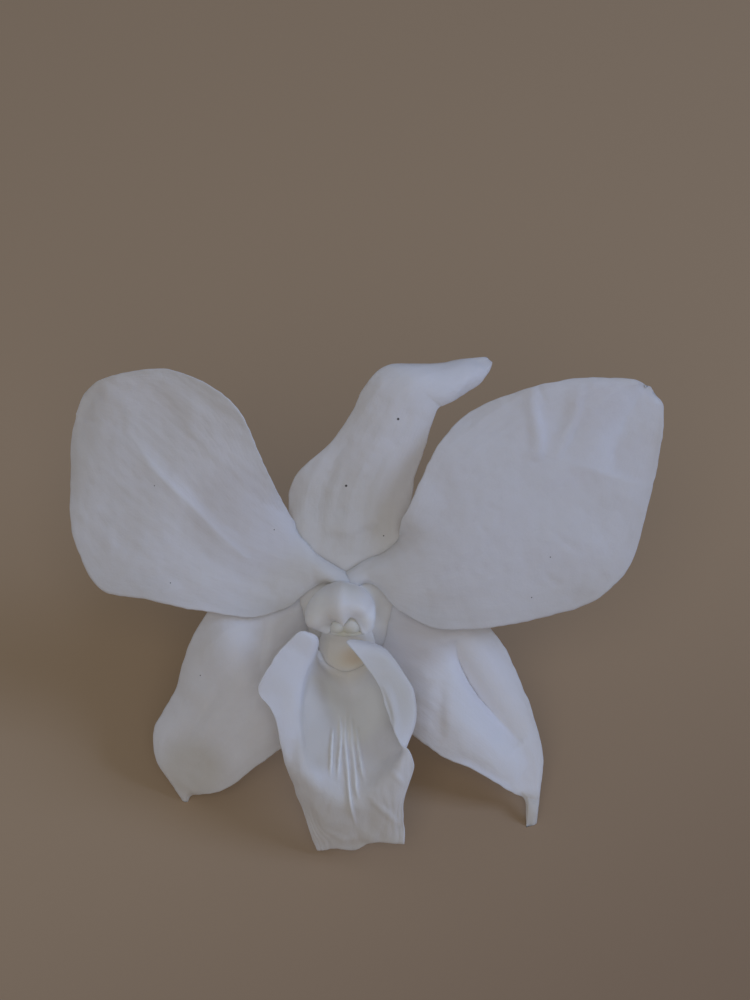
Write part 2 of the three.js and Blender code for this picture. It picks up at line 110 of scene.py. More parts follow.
LEFT_LATERAL_SEPAL = [
    [[-2.3, 1.2, -2.9], [-2.9, -3.5, -5.9], [-1.8, -8.0, -9.4]],
    [[-4.8, 1.0, -3.0], [-4.2, -4.5, -4.2], [-0.9, -10.8, -9.0]],
    [[-9.0, 0.2, -2.6], [-7.2, -6.5, -2.5], [-3.1, -13.6, -6.0]],
    [[-14.4, -0.7, -2.5], [-10.4, -9.2, -1.6], [-5.3, -15.7, -3.9]],
    [[-17.7, -5.5, -3.4], [-13.2, -12.4, -2.1], [-8.2, -17.5, -3.0]],
    [[-19.5, -10.8, -4.5], [-15.4, -15.5, -3.1], [-11.3, -19.7, -3.2]],
    [[-21.7, -14.9, -5.0], [-17.5, -18.4, -4.0], [-14.0, -21.7, -4.0]],
    [[-21.4, -18.1, -5.3], [-18.8, -20.6, -4.9], [-16.4, -22.3, -4.9]],
    [[-19.9, -20.8, -5.5], [-18.9, -21.9, -5.6], [-17.7, -22.7, -5.7]],
    [[-18.8, -22.8, -6.1], [-18.5, -23.2, -6.1], [-18.1, -23.4, -6.1]],
]

RIGHT_LATERAL_SEPAL = [
    [[2.3, 1.2, -2.9], [2.9, -3.5, -5.9], [1.8, -8.0, -9.4]],
    [[4.8, 1.0, -2.9], [4.2, -4.5, -4.6], [0.9, -10.8, -8.6]],
    [[9.5, 0.2, -2.9], [7.9, -6.6, -3.5], [3.6, -13.3, -6.0]],
    [[14.5, -1.7, -4.0], [11.2, -9.0, -2.5], [7.0, -14.9, -3.8]],
    [[18.0, -5.6, -4.9], [14.2, -11.8, -2.9], [10.5, -17.4, -2.5]],
    [[19.9, -9.5, -5.1], [16.8, -14.8, -3.5], [13.9, -18.9, -2.6]],
    [[21.4, -13.7, -4.8], [18.9, -17.5, -3.9], [16.8, -20.7, -3.1]],
    [[22.3, -18.2, -4.3], [20.4, -20.3, -3.8], [19.1, -21.9, -3.4]],
    [[21.9, -21.6, -3.8], [21.1, -22.0, -3.6], [20.2, -22.5, -3.4]],
    [[21.8, -23.6, -3.4], [21.1, -23.9, -3.3], [20.4, -24.1, -3.3]],
    [[21.6, -25.4, -3.6], [21.0, -25.7, -3.6], [20.4, -25.9, -3.7]],
]

# A row of the lip runs from the left side lobe's margin, down the wall of the trough, over the disc
# and up to the right side lobe's margin, which is folded inwards.
LIP = [
    [[-3.3, -6.1, -5.0], [-2.4, -6.8, -5.5], [-1.2, -7.3, -6.0], [0.0, -7.6, -6.1],
     [1.2, -7.3, -6.0], [2.4, -6.8, -5.5], [3.3, -6.1, -5.0]],
    [[-4.1, -4.7, -0.1], [-3.7, -5.3, -1.6], [-2.9, -7.2, -3.9], [0.0, -8.9, -5.1],
     [2.9, -7.4, -4.2], [4.0, -5.6, -1.4], [3.3, -4.8, 0.0]],
    [[-4.5, -3.2, 3.9], [-3.2, -4.1, 2.9], [-3.2, -7.1, -0.6], [0.0, -10.6, -3.4],
     [3.9, -8.2, -1.2], [4.7, -5.8, 2.0], [0.2, -4.5, 2.9]],
    [[-6.6, -4.9, 4.2], [-4.0, -6.5, 2.7], [-3.8, -8.9, 0.6], [0.0, -12.4, -1.2],
     [5.2, -10.4, 0.4], [6.1, -7.6, 3.1], [2.2, -6.8, 3.7]],
    [[-8.2, -7.1, 4.8], [-4.9, -8.7, 3.1], [-4.4, -11.1, 1.8], [0.1, -14.5, 0.8],
     [6.2, -12.1, 1.5], [7.3, -9.5, 3.6], [3.9, -9.3, 4.2]],
    [[-9.4, -9.5, 4.8], [-5.4, -11.3, 3.7], [-4.4, -13.9, 2.9], [0.3, -16.9, 2.5],
     [6.2, -14.2, 2.7], [7.6, -12.2, 4.1], [4.9, -12.4, 4.7]],
    [[-7.8, -12.0, 4.6], [-5.2, -14.2, 4.0], [-4.0, -16.6, 3.6], [0.6, -19.3, 3.7],
     [5.4, -16.8, 4.0], [6.9, -15.1, 4.9], [5.9, -15.1, 5.6]],
    [[-6.8, -16.1, 4.2], [-5.0, -18.0, 4.2], [-3.4, -19.8, 4.2], [0.9, -21.6, 4.3],
     [4.6, -19.1, 5.3], [6.1, -17.4, 5.9], [7.1, -16.1, 6.0]],
    [[-5.7, -20.2, 2.9], [-4.5, -21.3, 3.2], [-2.8, -22.8, 3.3], [1.1, -23.8, 3.4],
     [4.3, -21.9, 4.7], [6.0, -19.8, 5.6], [7.5, -17.5, 6.2]],
    [[-4.1, -24.7, 1.4], [-3.3, -25.0, 1.6], [-2.0, -25.5, 1.8], [1.1, -25.9, 2.1],
     [3.8, -24.5, 3.5], [5.3, -23.5, 4.2], [6.4, -22.1, 4.8]],
    [[-3.1, -27.9, 0.0], [-2.4, -27.8, 0.2], [-1.0, -27.4, 0.5], [0.9, -27.7, 0.9],
     [3.0, -26.6, 2.2], [5.0, -26.4, 2.8], [6.7, -26.3, 3.3]],
]

# A row of the column's hood runs from its left wing over its back to its right wing. The last row
# is the mouth, whose edge MOUTH draws finer.
HOOD = [
    [[-0.9, 0.2, -2.0], [-1.0, 0.8, -2.0], [-0.7, 1.2, -1.9], [0.0, 1.4, -1.9],
     [0.7, 1.2, -1.9], [1.0, 0.8, -2.0], [0.9, 0.2, -2.0]],
    [[-3.5, -1.6, -0.5], [-3.2, -0.1, 0.3], [-2.1, 1.0, 0.7], [-0.2, 1.4, 0.9],
     [1.8, 1.0, 0.7], [2.6, 0.0, 0.3], [2.7, -1.4, -0.3]],
    [[-3.9, -2.3, 0.6], [-3.8, -1.1, 1.8], [-2.5, 0.3, 2.5], [-0.4, 0.9, 3.0],
     [1.8, 0.4, 2.7], [2.9, -0.8, 1.9], [2.9, -2.3, 1.0]],
    [[-3.7, -2.7, 1.2], [-3.7, -2.3, 2.5], [-2.4, -0.9, 3.4], [-0.4, -0.3, 4.0],
     [1.7, -0.7, 3.8], [2.7, -1.9, 3.0], [2.9, -3.0, 1.9]],
    [[-2.1, -3.6, 2.5], [-1.5, -2.3, 3.1], [-0.95, -1.75, 3.7], [-0.15, -2.7, 4.2],
     [0.6, -1.75, 4.0], [1.4, -2.3, 3.4], [2.3, -3.6, 2.7]],
]

# The mouth's edge, from the left side tooth by the middle tooth to the right one.
MOUTH = [
    (-2.05, -3.7, 2.5), (-1.67, -3.4, 2.7), (-1.55, -2.7, 2.9), (-1.38, -2.2, 3.2),
    (-1.1, -1.9, 3.5), (-0.7, -1.95, 3.8), (-0.4, -2.25, 4.0), (-0.15, -2.65, 4.1),
    (0.05, -2.3, 4.1), (0.3, -1.95, 4.0), (0.6, -1.7, 3.9), (1.1, -1.85, 3.7),
    (1.4, -2.25, 3.4), (1.7, -2.95, 3.0), (1.95, -3.5, 2.8), (2.4, -3.65, 2.6),
]

HOOD_HALF_THICK = 0.42
HOOD_MOUTH_THINNING = 0.27
HOOD_WING_THINNING = 0.1
HOOD_RIDGE = [(-0.3, 2.2), (-0.4, 0.8), (-0.4, -0.9), (-0.2, -2.4)]
HOOD_RIDGE_HEIGHT = 0.4
HOOD_RIDGE_LEFT = 0.4
HOOD_RIDGE_RIGHT = 1.8

COLUMN_BODY = dict(centre=(0, 0.1, -0.5), radii=(1.3, 1.3, 1.9))
COLUMN_SKIRT = [(0, -0.6, -3.5), (0, -1.2, -0.9)]
SKIRT_TOP_RADIUS = 2.9
SKIRT_REACH = 5.6
SKIRT_FLATTENING = 0.72
SKIRT_SHORTENING = 0.75  # towards the dorsal sepal
COLUMN_FOOT = [
    (0.2, -0.9, -1.1), (0.2, -2.8, -1.9), (0.2, -4.8, -3.1),
    (0.1, -6.5, -4.4), (0, -8.0, -5.5), (0, -9.3, -6.1),
]
FOOT_TOP_HALF_WIDTH = 2.6
FOOT_HALF_WIDTH = 3.3
FOOT_END_HALF_WIDTH = 2.6
FOOT_HALF_THICK = 0.55
FOOT_END_HALF_THICK = 0.3

ANTHER_LOBES = [(-0.75, -2.3, 2.2), (0.75, -2.3, 2.4)]
ANTHER_RADII = (1.35, 1.3, 1.1)
ANTHER_BEAK = dict(centre=(0.3, -3.5, 2.1), radii=(2.0, 0.42, 0.5))

PEDICEL = [(0, 0.45, -2.8), (0, 0.3, -8), (0.2, -0.6, -14), (0.5, -1.9, -20), (0.8, -3.6, -27)]
OVARY_RADIUS = 1.35
PEDICEL_RADIUS = 0.9
OVARY_PART = 0.4  # of the pedicel's length
OVARY_RIBS = 6
RIB_HALF_DEPTH = 0.07  # of the radius
RIB_TWIST = 1.2
STALK_FURROWS = 9
FURROW_HALF_DEPTH = 0.03  # of the radius
FURROW_WANDER = 3
FURROW_BENDS = 5
RECEPTACLE = dict(centre=(0, 1.0, -2.8), radii=(2.3, 1.9, 0.8))

TEPAL_THICK = 0.4
LIP_THICK = 0.38
MARGIN_WIDTH = 0.4  # of the way from a margin to the midrib
RIM_ROUNDING = 0.9  # how far the rim stands out, of half the thickness

# ---- Curves and surfaces ----

TINY = 1e-9
SHORTEST_KNOT = 1e-4
NOISE_GAIN = 1.6
PATH_STEPS = 48
FADE_POWER = 0.7  # a fold's ends fade faster with less


def smoothstep(x, low, high):
    """0 below low, 1 above high and a soft step between them."""
    t = np.clip((np.asarray(x, float) - low) / (high - low), 0, 1)
    return t * t * (3 - 2 * t)


def spline(points, t):
    """A centripetal Catmull-Rom curve through the points, at each t from 0 to 1."""
    points = np.asarray(points, float)
    t = np.atleast_1d(t)
    last = len(points) - 1
    scaled = np.clip(t, 0, 1) * last
    index = np.minimum(scaled.astype(int), last - 1)
    padded = np.vstack([2 * points[0] - points[1], points, 2 * points[-1] - points[-2]])
    p0, p1, p2, p3 = (padded[index + k] for k in range(4))
    chords = (np.linalg.norm(b - a, axis=-1) for a, b in ((p0, p1), (p1, p2), (p2, p3)))
    d0, d1, d2 = (np.maximum(chord**0.5, SHORTEST_KNOT)[:, None] for chord in chords)
    t1 = ((p1 - p0) / d0 - (p2 - p0) / (d0 + d1) + (p2 - p1) / d1) * d1
    t2 = ((p2 - p1) / d1 - (p3 - p1) / (d1 + d2) + (p3 - p2) / d2) * d1
    w = (scaled - index)[:, None]
    return p1 + t1 * w + (-3 * p1 + 3 * p2 - 2 * t1 - t2) * w**2 + (2 * p1 - 2 * p2 + t1 + t2) * w**3


def surface(table, across, along):
    """The smooth surface through a table, as a grid of points: along by across by 3."""
    rows = np.stack([spline([row[i] for row in table], along) for i in range(len(table[0]))], axis=1)
    if rows.shape[1] > 3:
        return np.stack([spline(row, across) for row in rows])
    first, middle, last = (rows[:, i, None, :] for i in range(3))
    control = 2 * middle - (first + last) / 2
    u = across[None, :, None]
    return (1 - u) ** 2 * first + 2 * u * (1 - u) * control + u**2 * last


def unit(vectors):
    """The vectors with their length made 1."""
    return vectors / np.maximum(np.linalg.norm(vectors, axis=-1, keepdims=True), TINY)


def normals(grid):
    """The grid's unit normals, on the side that faces out of the bloom's face."""
    n = unit(np.cross(np.gradient(grid, axis=1), np.gradient(grid, axis=0)))
    return n if n[..., 2].mean() > 0 else -n


def crumple(points, size, seed):
    """Smooth noise from about -1 to 1 at each point, with bumps of that size in millimetres."""
    flat = points.reshape(-1, 3) / size + seed
    return np.array([noise.noise(Vector(p)) for p in flat]).reshape(points.shape[:-1]) * NOISE_GAIN


def crumpled(points, layers, seed=0.0):
    """Crumples added up. A layer is its height and its bumps' size in millimetres, and its seed."""
    return sum(height * crumple(points, size, seed + own_seed) for height, size, own_seed in layers)


def beside(points, path):
    """How far each point is to the right of a path, seen from the bloom's front, and how far along it."""
    line = spline(path, np.linspace(0, 1, PATH_STEPS))[:, :2]
    ahead = unit(np.gradient(line, axis=0))
    apart = points[..., None, :2] - line
    nearest = np.linalg.norm(apart, axis=-1).argmin(axis=-1)
    apart = np.take_along_axis(apart, nearest[..., None, None], axis=-2)[..., 0, :]
    forward = ahead[nearest]
    right = apart[..., 0] * forward[..., 1] - apart[..., 1] * forward[..., 0]
    ahead_of_nearest = (apart * forward).sum(axis=-1)
    past = ahead_of_nearest * ((nearest == 0) | (nearest == PATH_STEPS - 1))
    step = np.linalg.norm(np.diff(line, axis=0), axis=1).mean()
    along = np.clip((nearest + ahead_of_nearest / step) / (PATH_STEPS - 1), 0, 1)
    return np.hypot(right, past) * np.where(right < 0, -1, 1), along


def faded(along):
    """1 along most of a path, falling to 0 at its ends."""
    return np.sin(np.pi * along) ** FADE_POWER


def fold(points, path, height, left, right):
    """A ridge, or with a negative height a furrow, along a path. left and right are its flanks' widths."""
    away, along = beside(points, path)
    return height * faded(along) * np.exp(-((away / np.where(away < 0, left, right)) ** 2))


def crease(points, path, height, left, right, rounding=0.3):
    """A fold with a narrow crest along its path. Its flanks run out over the widths left and right."""
    away, along = beside(points, path)
    distance = np.hypot(away, rounding) - rounding
    return height * faded(along) * np.exp(-distance / np.where(away < 0, left, right))


def swell(points, centre, radii, height):
    """A soft swelling, or with a negative height a hollow."""
    away = (points[..., :2] - np.array(centre)) / np.array(radii)
    return height * np.exp(-(away**2).sum(axis=-1))


def ripple(u, v, depth, waves, phase):
    """A margin that ripples: nothing at the midrib, growing towards both margins."""
    return depth * np.abs(2 * u - 1) ** 2 * np.sin(2 * np.pi * waves * v + phase + 2 * u)


def sunk(table, depths):
    """The table with its first rows' margins set deeper: one margin by the depths, the other by half."""
    rows = [[list(point) for point in row] for row in table]
    for row, depth in zip(rows, depths):
        row[0][2] -= depth
        row[-1][2] -= depth / 2
    return rows


def rooted(table, shift):
    """The table with one more row at its base, moved by shift, so that the root sinks into its seat."""
    return [[list(np.add(point, shift)) for point in table[0]], *table]


# ---- Meshes ----


def piece_of(name, vertices, faces, node, slot, material, attributes=None):
    """A smooth mesh object from points of the bloom's frame. It stands for a node and rides on the root."""
    mesh = bpy.data.meshes.new(name)
    mesh.from_pydata(in_world(vertices).tolist(), [], faces)
    bm = bmesh.new()
    bm.from_mesh(mesh)
    bmesh.ops.recalc_face_normals(bm, faces=bm.faces)
    bm.to_mesh(mesh)
    bm.free()
    for key, values in (attributes or {}).items():
        attribute = mesh.attributes.new(key, "FLOAT", "POINT")
        attribute.data.foreach_set("value", np.asarray(values, np.float32).ravel())
    mesh.shade_smooth()
    piece = bpy.data.objects.new(name, mesh)
    bpy.context.scene.collection.objects.link(piece)
    mesh.materials.append(material)
    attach(piece, "root")
    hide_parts(node)
    return piece


def grid_faces(wide, high, start, turned):
    """The faces of a grid of vertices, numbered row by row from start."""
    faces = []
    for j in range(high - 1):
        for i in range(wide - 1):
            a = start + j * wide + i
            face = (a, a + 1, a + 1 + wide, a + wide)
            faces.append(face[::-1] if turned else face)
    return faces


def rim_of(wide, high):
    """The grid's edge vertices, once round, and for each one the vertex next to it inside the grid."""
    top, side = high - 1, wide - 1
    across, up = np.arange(side), np.arange(top)
    j = np.concatenate([0 * across, up, 0 * across + top, top - up])
    i = np.concatenate([across, 0 * up + side, side - across, 0 * up])
    inside_j = np.clip(j, 1, high - 2)
    inside_i = np.clip(i, 1, wide - 2)
    return j * wide + i, inside_j * wide + inside_i


def sheet_mesh(middle, half, front_relief):
    """Vertices, faces and rim of a closed sheet round a grid of middle points, with a rounded rim."""
    n = normals(middle)
    front = middle + n * (half + front_relief)[..., None]
    back = middle - n * half[..., None]
    high, wide = middle.shape[:2]
    flat = middle.reshape(-1, 3)
    rim, inside = rim_of(wide, high)
    outward = unit(flat[rim] - flat[inside])
    crest = flat[rim] + outward * half.reshape(-1, 1)[rim] * RIM_ROUNDING
    count = wide * high
    vertices = np.vstack([front.reshape(-1, 3), back.reshape(-1, 3), crest])
    facing_out = np.cross(middle[0, 1] - middle[0, 0], middle[1, 0] - middle[0, 0]) @ n[0, 0] > 0
    faces = grid_faces(wide, high, 0, not facing_out) + grid_faces(wide, high, count, facing_out)
    for k, a in enumerate(rim):
        b = rim[(k + 1) % len(rim)]
        c = 2 * count + k
        d = 2 * count + (k + 1) % len(rim)
        sides = [(a, c, d, b), (c, a + count, b + count, d)]
        faces += sides if facing_out else [side[::-1] for side in sides]
    return vertices, [tuple(int(x) for x in face) for face in faces], rim


NIBBLES = [(0.09, 2.4, 91.0), (0.054, 0.9, 95.0)]  # layers, as crumpled() takes them


def nibbled(middle, u):
    """The sheet with slightly uneven margins, moved in its own plane."""
    outward = unit(np.gradient(middle, axis=1)) * np.sign(u - 0.5)[..., None]
    only_near_margins = np.abs(2 * u - 1) ** 8
    return middle + outward * (crumpled(middle, NIBBLES) * only_near_margins)[..., None]


def blade(
    name, table, node, slot, material, columns, rows, thick, relief, front_relief=None, edge=0.4, ground=False
):
    """A sepal, petal or lip: the surface through a table, bent by relief(u, v, points) along its normal.

    front_relief(points) raises the front alone. edge is how much of the thickness is left at the margins.
    """
    u, v = np.linspace(0, 1, columns), np.linspace(0, 1, rows)
    middle = surface(table, u, v)
    uu, vv = np.meshgrid(u, v)
    middle = nibbled(middle, uu)
    middle = middle + normals(middle) * relief(uu, vv, middle)[..., None]
    from_margin = np.minimum(uu, 1 - uu) * 2
    from_edge = np.minimum(from_margin, (1 - vv) * 4)
    half = thick / 2 * (edge + (1 - edge) * smoothstep(from_edge, 0, MARGIN_WIDTH))
    raised = front_relief(middle) if front_relief else np.zeros_like(uu)
    vertices, faces, rim = sheet_mesh(middle, half, raised)
    grids = {"across": (uu, uu), "along": (vv, vv), "crest": (raised, 0 * raised)}
    values = {
        key: np.concatenate([front.ravel(), back.ravel(), front.ravel()[rim]])
        for key, (front, back) in grids.items()
    }
    piece = piece_of(name, vertices, faces, node, slot, material, values)
    if ground:
        keep_above_floor(piece)


def keep_above_floor(piece):
    """Flattens what would sink into the floor, where the piece's tip stands on it."""
    for vertex in piece.data.vertices:
        vertex.co.z = max(vertex.co.z, 0.0)


def ellipsoid(centre, radii, sides=48, rings=32):
    """Vertices and faces of a closed ellipsoid."""
    vertices, faces = [(centre[0], centre[1], centre[2] + radii[2])], []
    for j in range(1, rings):
        tilt = math.pi * j / rings
        for i in range(sides):
            turn = 2 * math.pi * i / sides
            vertices.append((
                centre[0] + radii[0] * math.sin(tilt) * math.cos(turn),
                centre[1] + radii[1] * math.sin(tilt) * math.sin(turn),
                centre[2] + radii[2] * math.cos(tilt),
            ))
    vertices.append((centre[0], centre[1], centre[2] - radii[2]))
    end = len(vertices) - 1
    for i in range(sides):
        k = (i + 1) % sides
        faces.append((0, 1 + i, 1 + k))
        faces.append((end, end - sides + k, end - sides + i))
        for j in range(rings - 2):
            a = 1 + j * sides
            faces.append((a + i, a + sides + i, a + sides + k, a + k))
    return np.array(vertices), faces


def stalk(path, steps, sides, radius):
    """Vertices and faces of a closed stalk along a path, with radius(t, angle) from its middle line."""
    t = np.linspace(0, 1, steps + 1)
    centre = spline(path, t)
    forward = unit(np.gradient(centre, axis=0))
    aside = unit(np.array([1.0, 0, 0]) - forward * forward[:, :1])
    third = np.cross(forward, aside)
    angle = np.linspace(0, 2 * np.pi, sides, endpoint=False)
    r = radius(*np.meshgrid(t, angle, indexing="ij"))[..., None]
    cosine, sine = np.cos(angle)[None, :, None], np.sin(angle)[None, :, None]
    ring = r * (cosine * aside[:, None] + sine * third[:, None])
    vertices = np.vstack([(centre[:, None] + ring).reshape(-1, 3), centre[[0, -1]]])
    first = len(vertices) - 2
    faces = []
    for i in range(sides):
        k = (i + 1) % sides
        for j in range(steps):
            a = j * sides
            faces.append((a + i, a + k, a + sides + k, a + sides + i))
        faces.append((first, k, i))
        faces.append((first + 1, steps * sides + i, steps * sides + k))
    return vertices, faces


def joined(*solids):
    """Several closed shells as one list of vertices and one of faces."""
    vertices, faces, start = [], [], 0
    for points, polygons in solids:
        vertices.append(np.asarray(points, float))
        faces += [tuple(int(x) + start for x in polygon) for polygon in polygons]
        start += len(points)
    return np.vstack(vertices), faces


def fuse(piece, voxel_mm, smoothing):
    """Melts a piece's overlapping shells into one skin, as grown tissue is."""
    remesh = piece.modifiers.new("fuse", "REMESH")
    remesh.mode = "VOXEL"
    remesh.voxel_size = voxel_mm * MM
    smooth = piece.modifiers.new("soften", "SMOOTH")
    smooth.factor = 0.5
    smooth.iterations = smoothing
    depsgraph = bpy.context.evaluated_depsgraph_get()
    mesh = bpy.data.meshes.new_from_object(piece.evaluated_get(depsgraph))
    piece.modifiers.clear()
    unfused = piece.data
    piece.data = mesh
    mesh.name = piece.name
    bpy.data.meshes.remove(unfused)
    mesh.shade_smooth()


# ---- Materials ----

SPOT_CORE = 0.7  # of a spot's radius
SPOT_REACH = 1.3  # of a spot's radius


class Nodes:
    """Short calls for building a material's node tree."""

    def __init__(self, name):
        self.material = bpy.data.materials.new(name)
        self.material.use_nodes = True
        self.tree = self.material.node_tree
        self.shader = self.tree.nodes["Principled BSDF"]

    def set(self, socket, value):
        if isinstance(value, bpy.types.NodeSocket):
            self.tree.links.new(value, socket)
        else:
            socket.default_value = value

    def add(self, kind, settings=None, values=(), **inputs):
        """A node with its settings, with values for its first inputs and with inputs by their names."""
        node = self.tree.nodes.new(kind)
        for key, value in (settings or {}).items():
            setattr(node, key, value)
        for socket, value in zip(node.inputs, values):
            self.set(socket, value)
        for key, value in inputs.items():
            self.set(node.inputs[key.replace("_", " ")], value)
        return node

    def math(self, operation, *values):
        return self.add("ShaderNodeMath", {"operation": operation}, values).outputs[0]

    def vector_math(self, operation, *values):
        node = self.add("ShaderNodeVectorMath", {"operation": operation}, values)
        return node.outputs["Value" if operation in ("DISTANCE", "DOT_PRODUCT", "LENGTH") else "Vector"]

    def place(self):
        """Where the shaded point lies, in metres."""
        return self.add("ShaderNodeTexCoord").outputs["Object"]

    def attribute(self, name):
        """A value that blade() stored at the vertices."""
        return self.add("ShaderNodeAttribute", {"attribute_name": name}).outputs["Fac"]

    def noise(self, vector, scale, detail=3.0, roughness=0.5):
        node = self.add("ShaderNodeTexNoise", Vector=vector, Scale=scale, Detail=detail, Roughness=roughness)
        return node.outputs["Fac"]

    def remap(self, value, low, high, to_low=0.0, to_high=1.0):
        """Takes low to to_low and high to to_high, with a soft step between them."""
        values = (value, low, high, to_low, to_high)
        return self.add("ShaderNodeMapRange", {"interpolation_type": "SMOOTHSTEP"}, values).outputs[0]

    def mix(self, factor, a, b):
        """Colour a where the factor is 0 and colour b where it is 1."""
        node = self.add("ShaderNodeMix", {"data_type": "RGBA"}, Factor=factor)
        for socket, value in zip([s for s in node.inputs if s.type == "RGBA"], (a, b)):
            self.set(socket, value)
        return next(s for s in node.outputs if s.type == "RGBA")

    def near(self, position, centre, reach, core):
        """1 within the core round a point of the bloom's frame, falling to 0 at the reach, both in mm."""
        away = self.vector_math("DISTANCE", position, in_world(centre))
        return self.remap(away, core * MM, reach * MM, 1.0, 0.0)

    def spot(self, position, centre, radius):
        """1 on the line that runs through a point along the bloom's z axis, falling to 0 beside it."""
        offset = self.vector_math("SUBTRACT", position, in_world(centre))
        aside = self.vector_math("CROSS_PRODUCT", offset, (0, -math.sin(LEAN), math.cos(LEAN)))
        away = self.vector_math("LENGTH", aside)
        return self.remap(away, SPOT_CORE * radius * MM, SPOT_REACH * radius * MM, 1.0, 0.0)

    def tinted(self, position, colour, tints):
        """The colour with tints over it, each a centre, a reach, a core, a colour and, below 1, its share."""
        for centre, reach, core, tint, *share in tints:
            shown = self.near(position, centre, reach, core)
            if share:
                shown = self.math("MULTIPLY", shown, share[0])
            colour = self.mix(shown, colour, tint)
        return colour

    def bump(self, height, strength, distance, under=None):
        """A bump of that distance in mm, over the normals of another one."""
        node = self.add("ShaderNodeBump", Height=height, Strength=strength, Distance=distance * MM)
        if under is not None:
            self.set(node.inputs["Normal"], under)
        return node.outputs["Normal"]

    def shade(self, **inputs):
        """Sets or links the shader's inputs, each named with underscores for its spaces."""
        for key, value in inputs.items():
            self.set(self.shader.inputs[key.replace("_", " ")], value)


# Colours, as red, green, blue and alpha.
WHITE = (0.82, 0.81, 0.85, 1)
CREAM = (0.80, 0.795, 0.80, 1)
HEART_GREEN = (0.765, 0.77, 0.73, 1)
COLUMN_WHITE = (0.84, 0.80, 0.77, 1)
# Painted light that lifts the shade in the recess round the column's skirt.
RECESS_PAINTED_LIGHT = (1.0, 0.985, 0.95, 1)
# Painted light on the hood's shaded left flank and on its two teeth.
HOOD_PAINTED_LIGHT = (0.97, 0.96, 0.95, 1)
# Painted shade that dims the lit top of the hood.
HOOD_PAINTED_SHADE = (0.80, 0.76, 0.69, 1)
# Painted shade: grey over the bloom's heart, the pieces' bases, the far end of the lip's trough wall and the
# lateral sepals' lower ends.
HEART_PAINTED_SHADE = (0.70, 0.67, 0.63, 1)
# Painted shade on the wall of the lip's trough, which the right lobe shades.
WALL_PAINTED_SHADE = (0.74, 0.71, 0.67, 1)
# Painted light that lifts the shade on the lip's disc and at its base deep in the throat.
DISC_BASE_PAINTED_LIGHT = (0.98, 0.97, 0.94, 1)
DISC_PAINTED_LIGHT = (0.92, 0.91, 0.87, 1)
# Painted shade where the petals and a sepal's root turn away from the light.
PETAL_PAINTED_SHADE = (0.735, 0.715, 0.73, 1)
# Painted shade over the lip's folded right lobe and its downturned midlobe.
LOBE_PAINTED_SHADE = (0.73, 0.71, 0.69, 1)
# The throat's own tan, lightened as painted light that lifts the shade of its deep recess.
THROAT_TAN_AND_PAINTED_LIGHT = (0.86, 0.80, 0.70, 1)
THROAT_STAIN = (0.80, 0.68, 0.53, 1)
ANTHER_CREAM = (0.84, 0.83, 0.74, 1)
# Painted shade, olive-tinged, along the lower edge of the anther cap's beak.
BEAK_PAINTED_SHADE = (0.74, 0.72, 0.60, 1)
STALK_GREEN = (0.60, 0.61, 0.44, 1)
SPECK_BROWN = (0.05, 0.04, 0.035, 1)
# The keels' crests: partly their own white, partly painted highlight.
KEEL_WHITE_AND_HIGHLIGHT = (0.93, 0.93, 0.93, 1)

# Places on the bloom, in its own frame.
HEART = (0.0, -1.5, -1.0)
THROAT = (0.0, -6.0, -5.0)
THROAT_TOP = (0.0, -5.6, -3.8)
STAIN = (1.0, -6.4, -4.0)
DISC = (0.2, -12.0, 0.0)
RECESS = (0.0, -1.0, -4.0)
HOOD_TOP = (0.2, 0.9, 2.4)
HOOD_LEFT = (-2.8, -0.8, 1.8)
RIGHT_TOOTH = (2.7, -2.5, 2.2)
LEFT_TOOTH = (-1.9, -3.4, 2.6)
RIGHT_LOBE = (5.5, -9.5, 3.0)
MIDLOBE = (1.2, -23.5, 2.5)
DISC_BASE = (0.3, -9.0, -4.8)
LEFT_WALL = (-3.1, -13.2, 2.0)
LEFT_WALL_END = (-2.7, -15.8, 3.2)
LEFT_WALL_BASE = (-3.4, -10.0, 0.6)
BEAK_EDGE = (0.3, -4.1, 2.3)
STALK_TOP = (0.0, 0.5, -2.8)

# A tint is its centre, its reach, its core, its colour and, where that is below 1, its share.
# The lip's tints: painted shade over its lobes and trough wall, painted light over its disc, and the throat's
# tan, partly painted light.
LIP_TAN_AND_PAINTED_SHADING = [
    (RIGHT_LOBE, 7.0, 3.0, LOBE_PAINTED_SHADE),
    (MIDLOBE, 11.0, 2.0, LOBE_PAINTED_SHADE),
    (DISC, 5.5, 3.0, DISC_PAINTED_LIGHT),
    (DISC_BASE, 4.2, 2.2, DISC_BASE_PAINTED_LIGHT),
    (LEFT_WALL, 3.6, 1.8, WALL_PAINTED_SHADE),
    (LEFT_WALL_END, 3.6, 1.8, HEART_PAINTED_SHADE),
    (LEFT_WALL_BASE, 2.8, 1.2, WALL_PAINTED_SHADE),
    (THROAT, 4.8, 1.5, THROAT_TAN_AND_PAINTED_LIGHT, 0.9),
]
# The column's tints: painted light in its recess and on its hood's left flank and teeth, painted shade over
# the hood's top, the throat's tan, partly painted light, and its own stain.
COLUMN_STAIN_AND_PAINTED_SHADING = [
    (RECESS, 6.5, 3.5, RECESS_PAINTED_LIGHT),
    (HOOD_LEFT, 3.0, 1.6, HOOD_PAINTED_LIGHT),
    (HOOD_TOP, 2.4, 0.6, HOOD_PAINTED_SHADE),
    (RIGHT_TOOTH, 2.4, 1.5, HOOD_PAINTED_LIGHT),
    (LEFT_TOOTH, 1.1, 0.5, HOOD_PAINTED_LIGHT),
    (THROAT_TOP, 3.6, 2.0, THROAT_TAN_AND_PAINTED_LIGHT),
    (STAIN, 2.5, 0.4, THROAT_STAIN),
]
# Painted shade under the anther cap's beak.
ANTHER_PAINTED_SHADES = [(BEAK_EDGE, 1.9, 0.9, BEAK_PAINTED_SHADE)]
STALK_TINTS = [(STALK_TOP, 7.0, 2.8, HEART_GREEN)]

